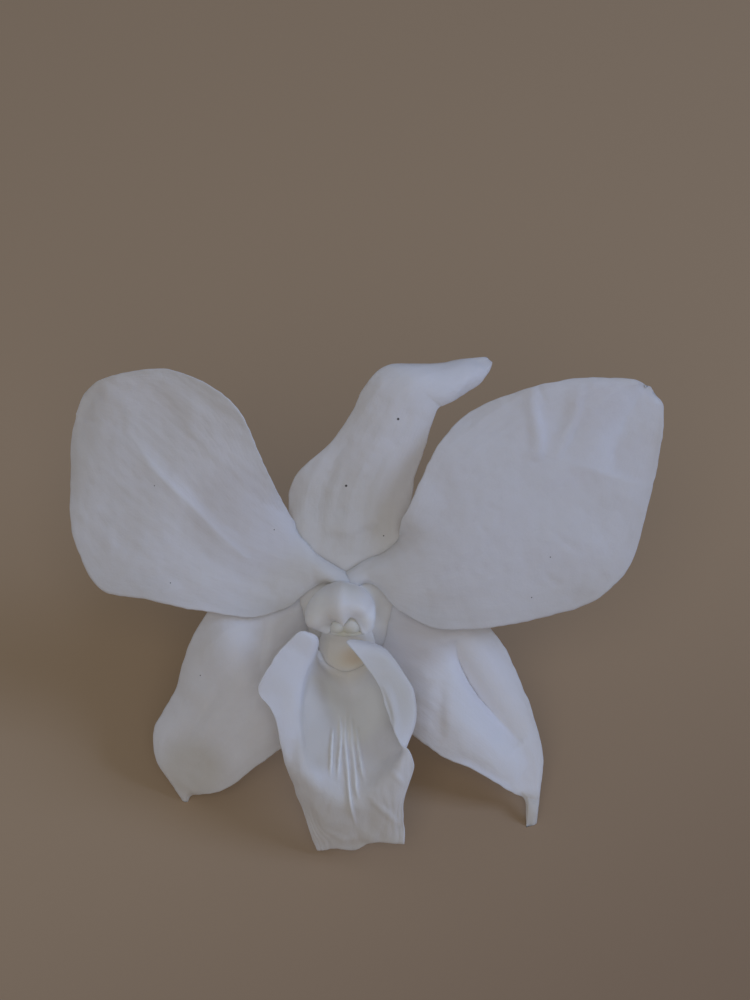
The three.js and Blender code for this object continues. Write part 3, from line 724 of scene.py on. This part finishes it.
# Scales of the materials' noise, in bumps a metre.
VEIN_WANDER_SCALE = 240.0
VEIN_SHOWN_SCALE = 120.0
PATCH_SCALE = 170.0
CREPE_SCALE = 1100.0
CELL_SCALE = 3600.0
TISSUE_GRAIN_SCALE = 5200.0
WAX_PATCH_SCALE = 420.0
WAX_GRAIN_SCALE = 4200.0

# The tissue's veins, patches and skin. A depth is in millimetres and a height is a share of the depth.
VEIN_WANDER = 14.0
VEIN_SHARPNESS = 0.5
VEIN_DARKENING = 0.08
VEIN_BUMP = 0.3
VEIN_DEPTH = 0.04
PATCH_SHARE = 0.35
WRINKLES_ACROSS = 60.0
WRINKLES_ALONG = 9.0
WRINKLE_HEIGHT = 0.5
CREPE_HEIGHT = 0.6
CELL_HEIGHT = 0.2
SKIN_BUMP = 0.4
SKIN_DEPTH = 0.09
TISSUE_ROUGHNESS = (0.5, 0.68)

WAX_PATCH_SHARE = 0.45
WAX_BUMP = 0.3
WAX_DEPTH = 0.06
WAX_ROUGHNESS = (0.42, 0.6)


def toned(colour, painted_shading):
    """The colour with its red, green and blue multiplied by one factor, which paints light or shade over a
    whole piece.
    """
    return tuple(painted_shading * part for part in colour[:3]) + (1,)


def tissue(name, veins, painted_shading, base_painted_shade, tints, specks=(), keeled=False):
    """Preserved petal tissue: matt, translucent, with faint veins and wrinkles from base to tip.

    One factor lightens or darkens the whole piece as painted light or painted shade, and a painted shade lies
    over its base, under the veins.
    """
    m = Nodes(name)
    position = m.place()
    across = m.attribute("across")
    along = m.attribute("along")
    wander = m.math("MULTIPLY", m.noise(position, VEIN_WANDER_SCALE), VEIN_WANDER)
    turns = m.math("MULTIPLY_ADD", across, veins * math.tau, wander)
    vein = m.math("POWER", m.math("ABSOLUTE", m.math("SINE", turns)), VEIN_SHARPNESS)
    shown = m.remap(m.noise(position, VEIN_SHOWN_SCALE, 1.0), 0.4, 0.65)
    fainter_at_tip = m.remap(along, 0.95, 0.4, to_low=0.15, to_high=0.5)
    strength = m.math("MULTIPLY", shown, fainter_at_tip)
    patches = m.remap(m.noise(position, PATCH_SCALE), 0.3, 0.75)
    colour = m.mix(m.math("MULTIPLY", patches, PATCH_SHARE), toned(WHITE, painted_shading), toned(CREAM, painted_shading))
    # Painted shade over the piece's base.
    colour = m.tinted(position, colour, [base_painted_shade])
    dark = m.math("MULTIPLY", m.math("SUBTRACT", 1.0, vein), VEIN_DARKENING)
    colour = m.mix(dark, colour, HEART_GREEN)
    colour = m.tinted(position, colour, tints)
    if keeled:
        # The raised keels are painted whiter: partly their own white, partly painted highlight on their
        # crests.
        colour = m.mix(m.remap(m.attribute("crest"), 0.08, 0.4), colour, KEEL_WHITE_AND_HIGHLIGHT)
    for spot, radius in specks:
        colour = m.mix(m.spot(position, spot, radius), colour, SPECK_BROWN)
    grain = m.noise(position, TISSUE_GRAIN_SCALE, 2.0, 0.6)
    aside = m.math("MULTIPLY", across, WRINKLES_ACROSS)
    ahead = m.math("MULTIPLY", along, WRINKLES_ALONG)
    lengthwise = m.add("ShaderNodeCombineXYZ", X=aside, Y=ahead).outputs["Vector"]
    wrinkles = m.noise(lengthwise, 1.0)
    crepe = m.noise(position, CREPE_SCALE, 4.0, 0.6)
    cells = m.add("ShaderNodeTexVoronoi", Vector=position, Scale=CELL_SCALE).outputs["Distance"]
    height = m.math("MULTIPLY_ADD", crepe, CREPE_HEIGHT, m.math("MULTIPLY", cells, CELL_HEIGHT))
    height = m.math("MULTIPLY_ADD", wrinkles, WRINKLE_HEIGHT, height)
    skin = m.bump(height, SKIN_BUMP, SKIN_DEPTH)
    m.shade(
        Base_Color=colour,
        Roughness=m.remap(grain, 0.2, 0.8, *TISSUE_ROUGHNESS),
        Normal=m.bump(vein, m.math("MULTIPLY", strength, VEIN_BUMP), VEIN_DEPTH, skin),
        Subsurface_Weight=0.7,
        Subsurface_Radius=(1.0, 0.94, 0.88),
        Subsurface_Scale=0.0009,
        Specular_IOR_Level=0.3,
        Sheen_Weight=0.1,
        Sheen_Roughness=0.5,
    )
    return m.material


def waxy(name, colour, tints, fineness):
    """The denser, waxy tissue of the column, the anther cap and the stalk. fineness is of its patches."""
    m = Nodes(name)
    position = m.place()
    patches = m.remap(m.noise(position, WAX_PATCH_SCALE * fineness), 0.3, 0.7)
    colour = m.mix(m.math("MULTIPLY", patches, WAX_PATCH_SHARE), colour, CREAM)
    grain = m.noise(position, WAX_GRAIN_SCALE)
    m.shade(
        Base_Color=m.tinted(position, colour, tints),
        Roughness=m.remap(grain, 0.2, 0.8, *WAX_ROUGHNESS),
        Normal=m.bump(grain, WAX_BUMP, WAX_DEPTH),
        Subsurface_Weight=0.5,
        Subsurface_Radius=(1.0, 0.92, 0.82),
        Subsurface_Scale=0.0015,
        Specular_IOR_Level=0.35,
    )
    return m.material


# ---- Sepals and petals ----

CRUMPLES = [(0.18, 7.0, 0.0), (0.06, 2.4, 3.7), (0.025, 1.0, 7.1)]  # layers, as crumpled() takes them
# A layer of streaks is its height and its width in millimetres, its bumps from base to tip and its seed.
STREAKS = [(0.06, 2.0, 2.0, 13.3), (0.018, 0.8, 5.0, 17.9)]
NARROW = 3.0  # no streaks where a piece is narrower
BROAD = 11.0  # full streaks where it is broader
ROOT_PART = 0.15  # of the length, over which the relief grows from nothing at the base


def streaks(points, u, v, seed):
    """Fine soft wrinkles that run from the base to the tip. They fade where the piece is narrow."""
    width = np.linalg.norm(points[:, -1] - points[:, 0], axis=-1)[:, None]
    aside = (u - 0.5) * width
    raised = 0.0
    for height, size, bumps, own_seed in STREAKS:
        lengthwise = np.stack([aside / size, bumps * v, 0 * u], -1)
        raised = raised + height * crumple(lengthwise, 1.0, seed + own_seed)
    return smoothstep(width, NARROW, BROAD) * raised


def tepal_relief(depth, waves, phase, seed, node):
    """The relief of a sepal or petal, for blade()."""
    def relief(u, v, points):
        height = ripple(u, v, depth, waves, phase) + crumpled(points, CRUMPLES, seed)
        height = height + streaks(points, u, v, seed)
        for shape in FOLDS[node]:
            height = height + fold(points, *shape)
        for shape in CREASES[node]:
            height = height + crease(points, *shape)
        for shape in SWELLS[node]:
            height = height + swell(points, *shape)
        return height * smoothstep(v, 0.0, ROOT_PART)
    return relief


# A fold is its path, its height and the widths of its left and right flanks, all in millimetres.
FOLDS = {
    "dorsal_sepal": [
        ([(0, 5), (0.5, 10), (3.5, 17), (8, 23)], 0.2, 1.0, 1.6),
        ([(-3, 9), (-1.5, 15), (2.5, 21)], -0.16, 1.4, 0.8),
        ([(-2.5, 8.4), (0, 7.7), (3.3, 8.9), (4.5, 7.4)], 0.2, 1.8, 0.6),
        ([(2.2, 8), (3.2, 11), (4.6, 14), (6.2, 17)], 0.22, 1.2, 1.6),
    ],
    "left_petal": [
        ([(-31.4, 20.9), (-29.6, 20.4), (-27.4, 19.6)], -0.1, 0.5, 0.4),
        ([(-19, 22.5), (-15.5, 17.5), (-12, 13)], 0.15, 1.4, 0.8),
        ([(-24, 3.2), (-20, 2.6), (-16, 1.4)], -0.12, 0.9, 1.1),
    ],
    "right_petal": [
        ([(20.4, 24), (20.9, 20.5), (21.4, 17.7), (21, 15.4)], 0.34, 0.6, 0.9),
        ([(25.9, 24.4), (25.3, 20.5), (24.1, 17.7), (23, 15.5)], 0.36, 0.6, 0.9),
        ([(21.2, 24), (21.7, 22.8), (22.2, 21.6)], -0.12, 0.25, 0.3),
        ([(15.1, 10.9), (16.2, 10.3), (17.4, 10)], -0.06, 0.35, 0.35),
        ([(14.7, 9), (15.1, 8.2), (15.8, 7.4)], -0.06, 0.35, 0.35),
        ([(22.4, 8), (24.4, 6.4), (26.4, 5)], -0.07, 0.4, 0.35),
        ([(21.8, 3.2), (23, 2.2), (24.4, 1.3)], -0.06, 0.4, 0.35),
    ],
    "left_lateral_sepal": [
        ([(-9.4, -1.0), (-9.2, -3.2), (-9.5, -6.2), (-9.9, -9.6)], -0.5, 0.6, 1.8),
        ([(-13.6, -9.6), (-15.2, -12.2), (-18.2, -16)], -0.12, 0.8, 0.5),
    ],
    "right_lateral_sepal": [
        ([(9, -10), (12.6, -13.4), (16.2, -16.6), (19.6, -20)], 0.7, 1.6, 2.2),
        ([(11.6, -8.4), (14.4, -11.5), (17.4, -14.8)], 0.4, 0.8, 1.2),
        ([(10.6, -9), (10.7, -12.5), (10.5, -16.5)], -0.35, 0.7, 1.4),
        ([(11.5, -17.4), (14, -18.4), (16.6, -19.8), (19.4, -21.6)], -0.3, 0.8, 0.5),
        ([(19.6, -22), (21, -22.6), (22.4, -22.6)], -0.2, 0.3, 0.5),
    ],
}

# A crease is written like a fold. Some have the rounding of their crest as well.
CREASES = {
    "dorsal_sepal": [
        ([(10.8, 21.4), (11.6, 22.4), (13.3, 24.4), (15.2, 26.2)], 0.5, 2.0, 1.2),
        ([(4.6, 7.4), (3.3, 8.9), (0, 7.9), (-3, 8.4)], 0.15, 2.0, 1.0),
    ],
    "left_petal": [
        ([(-10, 3.6), (-13.8, 7.2), (-17.1, 10.6), (-20.5, 13.9), (-24.4, 19)], 0.5, 4.5, 0.6, 0.12),
    ],
    "right_petal": [([(34.8, 24.8), (32.8, 22.4), (30.6, 18.5), (29.2, 14)], -1.2, 4.0, 3.0)],
    "left_lateral_sepal": [],
    "right_lateral_sepal": [
        ([(20, -16.4), (17.3, -13), (15.1, -10.2), (13.1, -6.8), (12.2, -4.4)], -2.1, 1.4, 0.9, 0.25),
    ],
}

# A swell is its centre, its radii and its height.
SWELLS = {
    "dorsal_sepal": [
        ((7.5, 24.0), (2.6, 1.6), 0.3),
        ((-5.2, 6.6), (2.0, 3.0), 0.8),
        ((6.0, 6.2), (2.0, 3.0), 0.8),
    ],
    "left_petal": [
        ((-15.5, 2.4), (6.0, 2.6), 0.4),
        ((-8.6, 10.0), (2.4, 4.5), -0.25),
        ((-9.0, 2.6), (4.0, 2.4), -0.35),
    ],
    "right_petal": [
        ((27.6, 18.0), (2.4, 6.0), 0.35),
        ((13.5, 8.5), (4.0, 4.0), 0.3),
        ((7.4, 10.4), (2.4, 3.4), 1.8),
    ],
    "left_lateral_sepal": [
        ((-12.6, -5.0), (2.8, 3.4), 0.6),
        ((-12.0, -18.6), (1.8, 1.6), 0.25),
    ],
    "right_lateral_sepal": [((7.2, -7.0), (2.0, 3.0), -0.2)],
}

# A speck is its centre and its radius.
SPECKS = {
    "dorsal_sepal": [((5.9, 20.1, -0.1), 0.13), ((0.1, 12.7, -1.1), 0.13), ((4.3, 7.1, -1.8), 0.07)],
    "left_petal": [((-21.2, 12.7, 1.2), 0.06), ((-19.4, 1.9, 0.6), 0.06), ((-7.9, 7.8, 0.2), 0.06)],
    "right_petal": [((22.7, 4.8, 1.0), 0.06), ((20.7, 0.3, 0.3), 0.06)],
    "left_lateral_sepal": [((-16.3, -8.6, -2.2), 0.06)],
    "right_lateral_sepal": [],
}

# Painted shade on the sepals and petals, where they turn away from the light or lie in another piece's
# shadow.
TEPAL_PAINTED_SHADES = {
    "dorsal_sepal": [],
    "left_petal": [((-11, 9, 0), 8.0, 4.0, PETAL_PAINTED_SHADE)],
    "right_petal": [
        ((27.5, 21.5, 2), 4.5, 2.0, PETAL_PAINTED_SHADE),
        ((32.5, 16, 1), 4.0, 2.0, PETAL_PAINTED_SHADE),
    ],
    "left_lateral_sepal": [((-17.5, -19.5, -4), 6.0, 2.0, HEART_PAINTED_SHADE)],
    "right_lateral_sepal": [
        ((21.0, -24.6, -3.4), 3.4, 1.6, HEART_PAINTED_SHADE),
        ((8.5, -4.0, -3.5), 5.0, 2.0, PETAL_PAINTED_SHADE),
    ],
}

# How the row that roots a piece in its seat lies from the piece's first row.
ROOT_SHIFTS = {
    "dorsal_sepal": (0, -1.0, -0.1),
    "left_petal": (2.5, -1.5, -0.3),
    "right_petal": (-2.4, -1.4, 0.0),
    "left_lateral_sepal": (1.3, 0, -0.2),
    "right_lateral_sepal": (-1.3, 0, -0.2),
}

# A ripple is its depth, its waves along the margin and its phase. sunk is how deep the first margins go.
# Each piece's colour is lightened or darkened as a whole by one factor: painted light above 1, painted shade
# below.
TEPALS = {
    "dorsal_sepal": dict(
        table=DORSAL_SEPAL, sunk=(), slot="sepal", ripple=(0.22, 3, 0.4), seed=11.3, columns=110, rows=200,
        veins=9, painted_shading=1.0, base_painted_shade=((-1.0, 3, -2), 16.0, 7.0, HEART_PAINTED_SHADE, 0.8),
    ),
    "left_petal": dict(
        table=LEFT_PETAL, sunk=(0.6, 0.9, 0.8), slot="petal", ripple=(0.25, 3.5, 1.2), seed=23.9,
        columns=160, rows=210, veins=16, painted_shading=0.98, base_painted_shade=(HEART, 16.0, 6.0, HEART_PAINTED_SHADE, 0.8),
    ),
    "right_petal": dict(
        table=RIGHT_PETAL, sunk=(0.5, 0.9, 0.4), slot="petal", ripple=(0.3, 4.5, 0.2), seed=35.1,
        columns=160, rows=220, veins=16, painted_shading=0.93, base_painted_shade=(HEART, 14.0, 6.0, HEART_PAINTED_SHADE, 0.6),
    ),
    "left_lateral_sepal": dict(
        table=LEFT_LATERAL_SEPAL, sunk=(), slot="sepal", ripple=(0.2, 2.5, 0.9), seed=47.7,
        columns=110, rows=170, veins=10, painted_shading=1.03, base_painted_shade=(HEART, 10.0, 3.0, HEART_PAINTED_SHADE, 0.2),
    ),
    "right_lateral_sepal": dict(
        table=RIGHT_LATERAL_SEPAL, sunk=(), slot="sepal", ripple=(0.2, 2.5, 2.1), seed=59.2,
        columns=110, rows=180, veins=10, painted_shading=1.04, base_painted_shade=(HEART, 10.0, 4.0, HEART_PAINTED_SHADE, 0.3),
    ),
}

for node, t in TEPALS.items():
    table = rooted(sunk(t["table"], t["sunk"]), ROOT_SHIFTS[node])
    material = tissue(node + "_tissue", t["veins"], t["painted_shading"], t["base_painted_shade"], TEPAL_PAINTED_SHADES[node], SPECKS[node])
    relief = tepal_relief(*t["ripple"], t["seed"], node)
    blade(
        node + "_tissue", table, node, t["slot"], material, t["columns"], t["rows"], TEPAL_THICK, relief,
        ground="lateral" in node,
    )

# ---- Lip ----

# The callus: thin keels along the disc. The middle one runs furthest towards the midlobe.
KEELS = [
    [(-1.4, -13.6), (-1.5, -16.5), (-1.6, -19.4)],
    [(-0.5, -12.6), (-0.5, -15.5), (-0.8, -20)],
    [(0.1, -12), (0, -15), (0.3, -18.4), (0.6, -21.2), (1.3, -25)],
    [(0.7, -12.6), (0.8, -15.2), (1.2, -19), (1.6, -22)],
    [(1.3, -13.8), (1.5, -15.8), (2.3, -20.2)],
]
KEEL_HALF_WIDTH = 0.15
KEEL_HEIGHT = 0.42


def keels(points):
    """How far the callus stands out of the lip's front."""
    height = np.zeros(points.shape[:-1])
    for path in KEELS:
        away, along = beside(points, path)
        ends = smoothstep(along, 0, 0.3) * (1 - smoothstep(along, 0.75, 1))
        height = np.maximum(height, KEEL_HEIGHT * ends * np.exp(-((away / KEEL_HALF_WIDTH) ** 2)))
    return height


LEFT_LOBE_FOLD = [
    (-2.9, -3.6), (-3.4, -5.4), (-4.4, -7.5), (-5, -9.2), (-5.1, -10.8), (-4.7, -13), (-4.3, -15),
]
LIP_FOLDS = [
    (LEFT_LOBE_FOLD, 0.18, 0.25, 1.0),
    ([(4.1, -8.8), (4.9, -10.6), (5.4, -12.6), (5.4, -14.6)], -0.25, 0.5, 0.2),
    ([(-0.2, -9), (-0.2, -12), (-0.1, -15.5)], 0.25, 0.8, 0.8),
    ([(-5.4, -15), (-5.7, -16.5), (-5.2, -18.5)], -0.25, 0.7, 0.7),
    ([(2.6, -20.9), (4, -22.4), (5.7, -24.1)], 0.12, 0.3, 0.35),
    ([(4, -22), (5, -23.1), (5.9, -24.2)], 0.1, 0.25, 0.3),
    ([(5, -18), (5.8, -18.8), (6.6, -19.8)], 0.12, 0.3, 0.35),
    ([(-4.6, -16), (-3.6, -18.5), (-2.8, -21)], 0.18, 0.6, 0.9),
    ([(-4.5, -21), (-3.4, -23.5), (-2.6, -26)], -0.2, 0.6, 0.9),
]
LIP_CRUMPLES = [(0.12, 4.0, 77.0), (0.06, 1.8, 81.0)]  # layers, as crumpled() takes them
EDGE_WAVE_HEIGHT = 0.12
EDGE_WAVES = 3.3
FRILL_HEIGHT = 0.28
FRILL_SIZE = 2.0
FRILL_SEED = 66.0
FAN_HEIGHT = 0.015
FAN_WAVES = 11
FAN_WANDER = 9
FAN_WANDER_SIZE = 4.0
FAN_SEED = 71.0


def lip_relief(u, v, points):
    """Wavy margins, a frill at the tip, a faint fan of veins over the midlobe, crinkles and folds."""
    waves = EDGE_WAVE_HEIGHT * np.abs(2 * u - 1) ** 2 * np.sin(2 * np.pi * EDGE_WAVES * v)
    frill = FRILL_HEIGHT * smoothstep(v, 0.88, 1) * crumple(points, FRILL_SIZE, FRILL_SEED)
    wander = FAN_WANDER * crumple(points, FAN_WANDER_SIZE, FAN_SEED)
    fan = FAN_HEIGHT * smoothstep(v, 0.6, 0.85) * np.sin(2 * np.pi * FAN_WAVES * u + wander)
    height = waves + frill + fan + crumpled(points, LIP_CRUMPLES) * smoothstep(v, 0.1, 0.4)
    for shape in LIP_FOLDS:
        height = height + fold(points, *shape)
    return height


LIP_VEINS = 14
LIP_COLUMNS = 220
LIP_ROWS = 195
LIP_MARGIN = 0.5  # the share of its thickness that is left at the margins
# Painted shade over the lip's base.
LIP_BASE_PAINTED_SHADE = (HEART, 5.0, 2.0, HEART_PAINTED_SHADE, 0.5)

lip_tissue = tissue("lip_tissue", LIP_VEINS, 1.0, LIP_BASE_PAINTED_SHADE, LIP_TAN_AND_PAINTED_SHADING, keeled=True)
blade(
    "lip_tissue", LIP, "lip", "lip", lip_tissue, LIP_COLUMNS, LIP_ROWS, LIP_THICK, lip_relief, keels,
    edge=LIP_MARGIN,
)

# ---- Column and anther cap ----

HOOD_COLUMNS = 150
HOOD_ROWS = 80
COLUMN_VOXEL = 0.105
COLUMN_SMOOTHING = 4
ANTHER_VOXEL = 0.06
ANTHER_SMOOTHING = 3


def hood_sheet():
    """Vertices and faces of the hood. It bends to the mouth's edge and thins towards it and the wings."""
    u, v = np.linspace(0, 1, HOOD_COLUMNS), np.linspace(0, 1, HOOD_ROWS)
    middle = surface(HOOD, u, v)
    across, along = np.meshgrid(u, v)
    to_mouth = spline(MOUTH, u) - middle[-1]
    middle = middle + smoothstep(along, 0.72, 1)[..., None] * to_mouth
    ridge = crease(middle, HOOD_RIDGE, HOOD_RIDGE_HEIGHT, HOOD_RIDGE_LEFT, HOOD_RIDGE_RIGHT)
    middle = middle + normals(middle) * ridge[..., None]
    half = HOOD_HALF_THICK - HOOD_MOUTH_THINNING * smoothstep(along, 0.75, 1)
    half = half - HOOD_WING_THINNING * smoothstep(abs(2 * across - 1), 0.7, 1)
    vertices, faces, _ = sheet_mesh(middle, half, np.zeros_like(half))
    return vertices, faces


def foot_radius(t, angle):
    """The foot is a flat tongue under the hood. It is widest in its middle and thins at its end."""
    top = smoothstep(t, 0.15, 0.45)
    end = smoothstep(t, 0.6, 1)
    half_width = FOOT_TOP_HALF_WIDTH + (FOOT_HALF_WIDTH - FOOT_TOP_HALF_WIDTH) * top
    half_width = half_width + (FOOT_END_HALF_WIDTH - FOOT_HALF_WIDTH) * end
    half_thick = FOOT_HALF_THICK + (FOOT_END_HALF_THICK - FOOT_HALF_THICK) * end
    return half_width * half_thick / np.hypot(half_thick * np.cos(angle), half_width * np.sin(angle))


def skirt_radius(t, angle):
    """The column's base flares out over the roots of the sepals."""
    reach = SKIRT_REACH * (1 - SKIRT_SHORTENING * np.maximum(np.sin(angle), 0))
    flattened = np.hypot(np.cos(angle), SKIRT_FLATTENING * np.sin(angle))
    return (SKIRT_TOP_RADIUS + reach * (1 - t) ** 3) * flattened


column_shells = joined(
    hood_sheet(),
    ellipsoid(**COLUMN_BODY),
    stalk(COLUMN_SKIRT, steps=24, sides=72, radius=skirt_radius),
    stalk(COLUMN_FOOT, steps=40, sides=32, radius=foot_radius),
)
column_wax = waxy("column_wax", COLUMN_WHITE, COLUMN_STAIN_AND_PAINTED_SHADING, fineness=1.0)
column = piece_of("column_wax", *column_shells, "column", "column", column_wax)
fuse(column, COLUMN_VOXEL, COLUMN_SMOOTHING)

anther_lobes = [ellipsoid(centre, ANTHER_RADII) for centre in ANTHER_LOBES]
anther_shells = joined(*anther_lobes, ellipsoid(**ANTHER_BEAK))
anther_wax = waxy("anther_wax", ANTHER_CREAM, ANTHER_PAINTED_SHADES, fineness=2.0)
anther = piece_of("anther_wax", *anther_shells, "anther_cap", "anther", anther_wax)
fuse(anther, ANTHER_VOXEL, ANTHER_SMOOTHING)

# ---- Pedicel with its ovary ----


def pedicel_radius(t, angle):
    """The ovary swells out of the pedicel and has six ribs. The pedicel has dried into fine furrows."""
    ovary = 1 - smoothstep(t, 0.15, OVARY_PART)
    plain = PEDICEL_RADIUS + (OVARY_RADIUS - PEDICEL_RADIUS) * ovary
    ribs = RIB_HALF_DEPTH * ovary * (1 + np.cos(OVARY_RIBS * angle + RIB_TWIST * t))
    wander = FURROW_WANDER * np.sin(FURROW_BENDS * t)
    furrows = FURROW_HALF_DEPTH * (1 - ovary) * np.cos(STALK_FURROWS * angle + wander)
    return plain * (1 - ribs - furrows)


def cut_at_floor(piece):
    """Cuts off what lies under the floor and closes the cut with one flat face."""
    bm = bmesh.new()
    bm.from_mesh(piece.data)
    everything = bm.verts[:] + bm.edges[:] + bm.faces[:]
    bmesh.ops.bisect_plane(bm, geom=everything, plane_co=(0, 0, 0), plane_no=(0, 0, -1), clear_outer=True)
    open_edges = [edge for edge in bm.edges if edge.is_boundary]
    bmesh.ops.edgeloop_fill(bm, edges=open_edges)
    bm.to_mesh(piece.data)
    bm.free()


stalk_shells = joined(
    stalk(PEDICEL, steps=160, sides=60, radius=pedicel_radius),
    ellipsoid(**RECEPTACLE),
)
stalk_wax = waxy("stalk_wax", STALK_GREEN, STALK_TINTS, fineness=0.6)
pedicel = piece_of("stalk_wax", *stalk_shells, "pedicel", "stalk", stalk_wax)
cut_at_floor(pedicel)

# ---- Floor, light and camera ----

FLOOR_SIZE = 6.0
# The floor's colour fades into a painted shade towards the viewer and to the right.
FLOOR_PAPER = (0.50, 0.355, 0.225, 1)
FLOOR_PAINTED_SHADE = (0.34, 0.23, 0.145, 1)
FLOOR_FALL = (0.5, -0.87, 0.0)  # the floor darkens this way, towards the viewer and to the right
FLOOR_FALL_START = -0.02
FLOOR_FALL_END = 0.07
FLOOR_ROUGHNESS = 0.9
SKY_COLOUR = (0.95, 0.97, 1.0, 1)
SKY_STRENGTH = 0.18
LAMPS = {
    "softbox": dict(place=(-0.05, -0.72, 0.75), size=0.7, power=2.05, colour=(0.98, 0.98, 1.0)),
    "window": dict(place=(0.78, -0.11, 0.62), size=0.4, power=3.0, colour=(0.44, 0.60, 1.0)),
}


def floor_paper():
    """Plain paper with a painted shade that deepens in one direction."""
    m = Nodes("floor_paper")
    ahead = m.vector_math("DOT_PRODUCT", m.place(), FLOOR_FALL)
    fall = m.remap(ahead, FLOOR_FALL_START, FLOOR_FALL_END)
    m.shade(Base_Color=m.mix(fall, FLOOR_PAPER, FLOOR_PAINTED_SHADE), Roughness=FLOOR_ROUGHNESS)
    return m.material


def area_light(name, place, size, power, colour):
    """A square lamp that shines at the middle of the floor."""
    light = bpy.data.lights.new(name, "AREA")
    light.size = size
    light.energy = power
    light.color = colour
    lamp = bpy.data.objects.new(name, light)
    lamp.location = place
    lamp.rotation_euler = (-Vector(place)).to_track_quat("-Z", "Y").to_euler()
    bpy.context.scene.collection.objects.link(lamp)


bpy.ops.mesh.primitive_plane_add(size=FLOOR_SIZE)
floor = bpy.context.object
floor.name = "floor"
floor.data.materials.append(floor_paper())

world = bpy.data.worlds.new("soft sky")
world.use_nodes = True
sky = world.node_tree.nodes["Background"]
sky.inputs["Color"].default_value = SKY_COLOUR
sky.inputs["Strength"].default_value = SKY_STRENGTH
bpy.context.scene.world = world

for name, lamp in LAMPS.items():
    area_light(name, **lamp)

FACE_POINT = (3.333, 11.111)  # the point of the bloom's face in the middle of the picture
CAMERA_DISTANCE_MM = 230.0
FOCAL_PIXELS = 2070.0
PICTURE_HEIGHT = 1000
SENSOR_MM = 36.0
CLIP_START = 0.005
CLIP_END = 20.0

camera_data = bpy.data.cameras.new("camera")
camera_data.sensor_width = SENSOR_MM
camera_data.lens = FOCAL_PIXELS * SENSOR_MM / PICTURE_HEIGHT
camera_data.clip_start = CLIP_START
camera_data.clip_end = CLIP_END
camera = bpy.data.objects.new("camera", camera_data)
camera.location = in_world((*FACE_POINT, CAMERA_DISTANCE_MM))
camera.rotation_euler = (LEAN, 0, 0)
bpy.context.scene.collection.objects.link(camera)
bpy.context.scene.camera = camera

bpy.context.scene.view_settings.view_transform = "Standard"
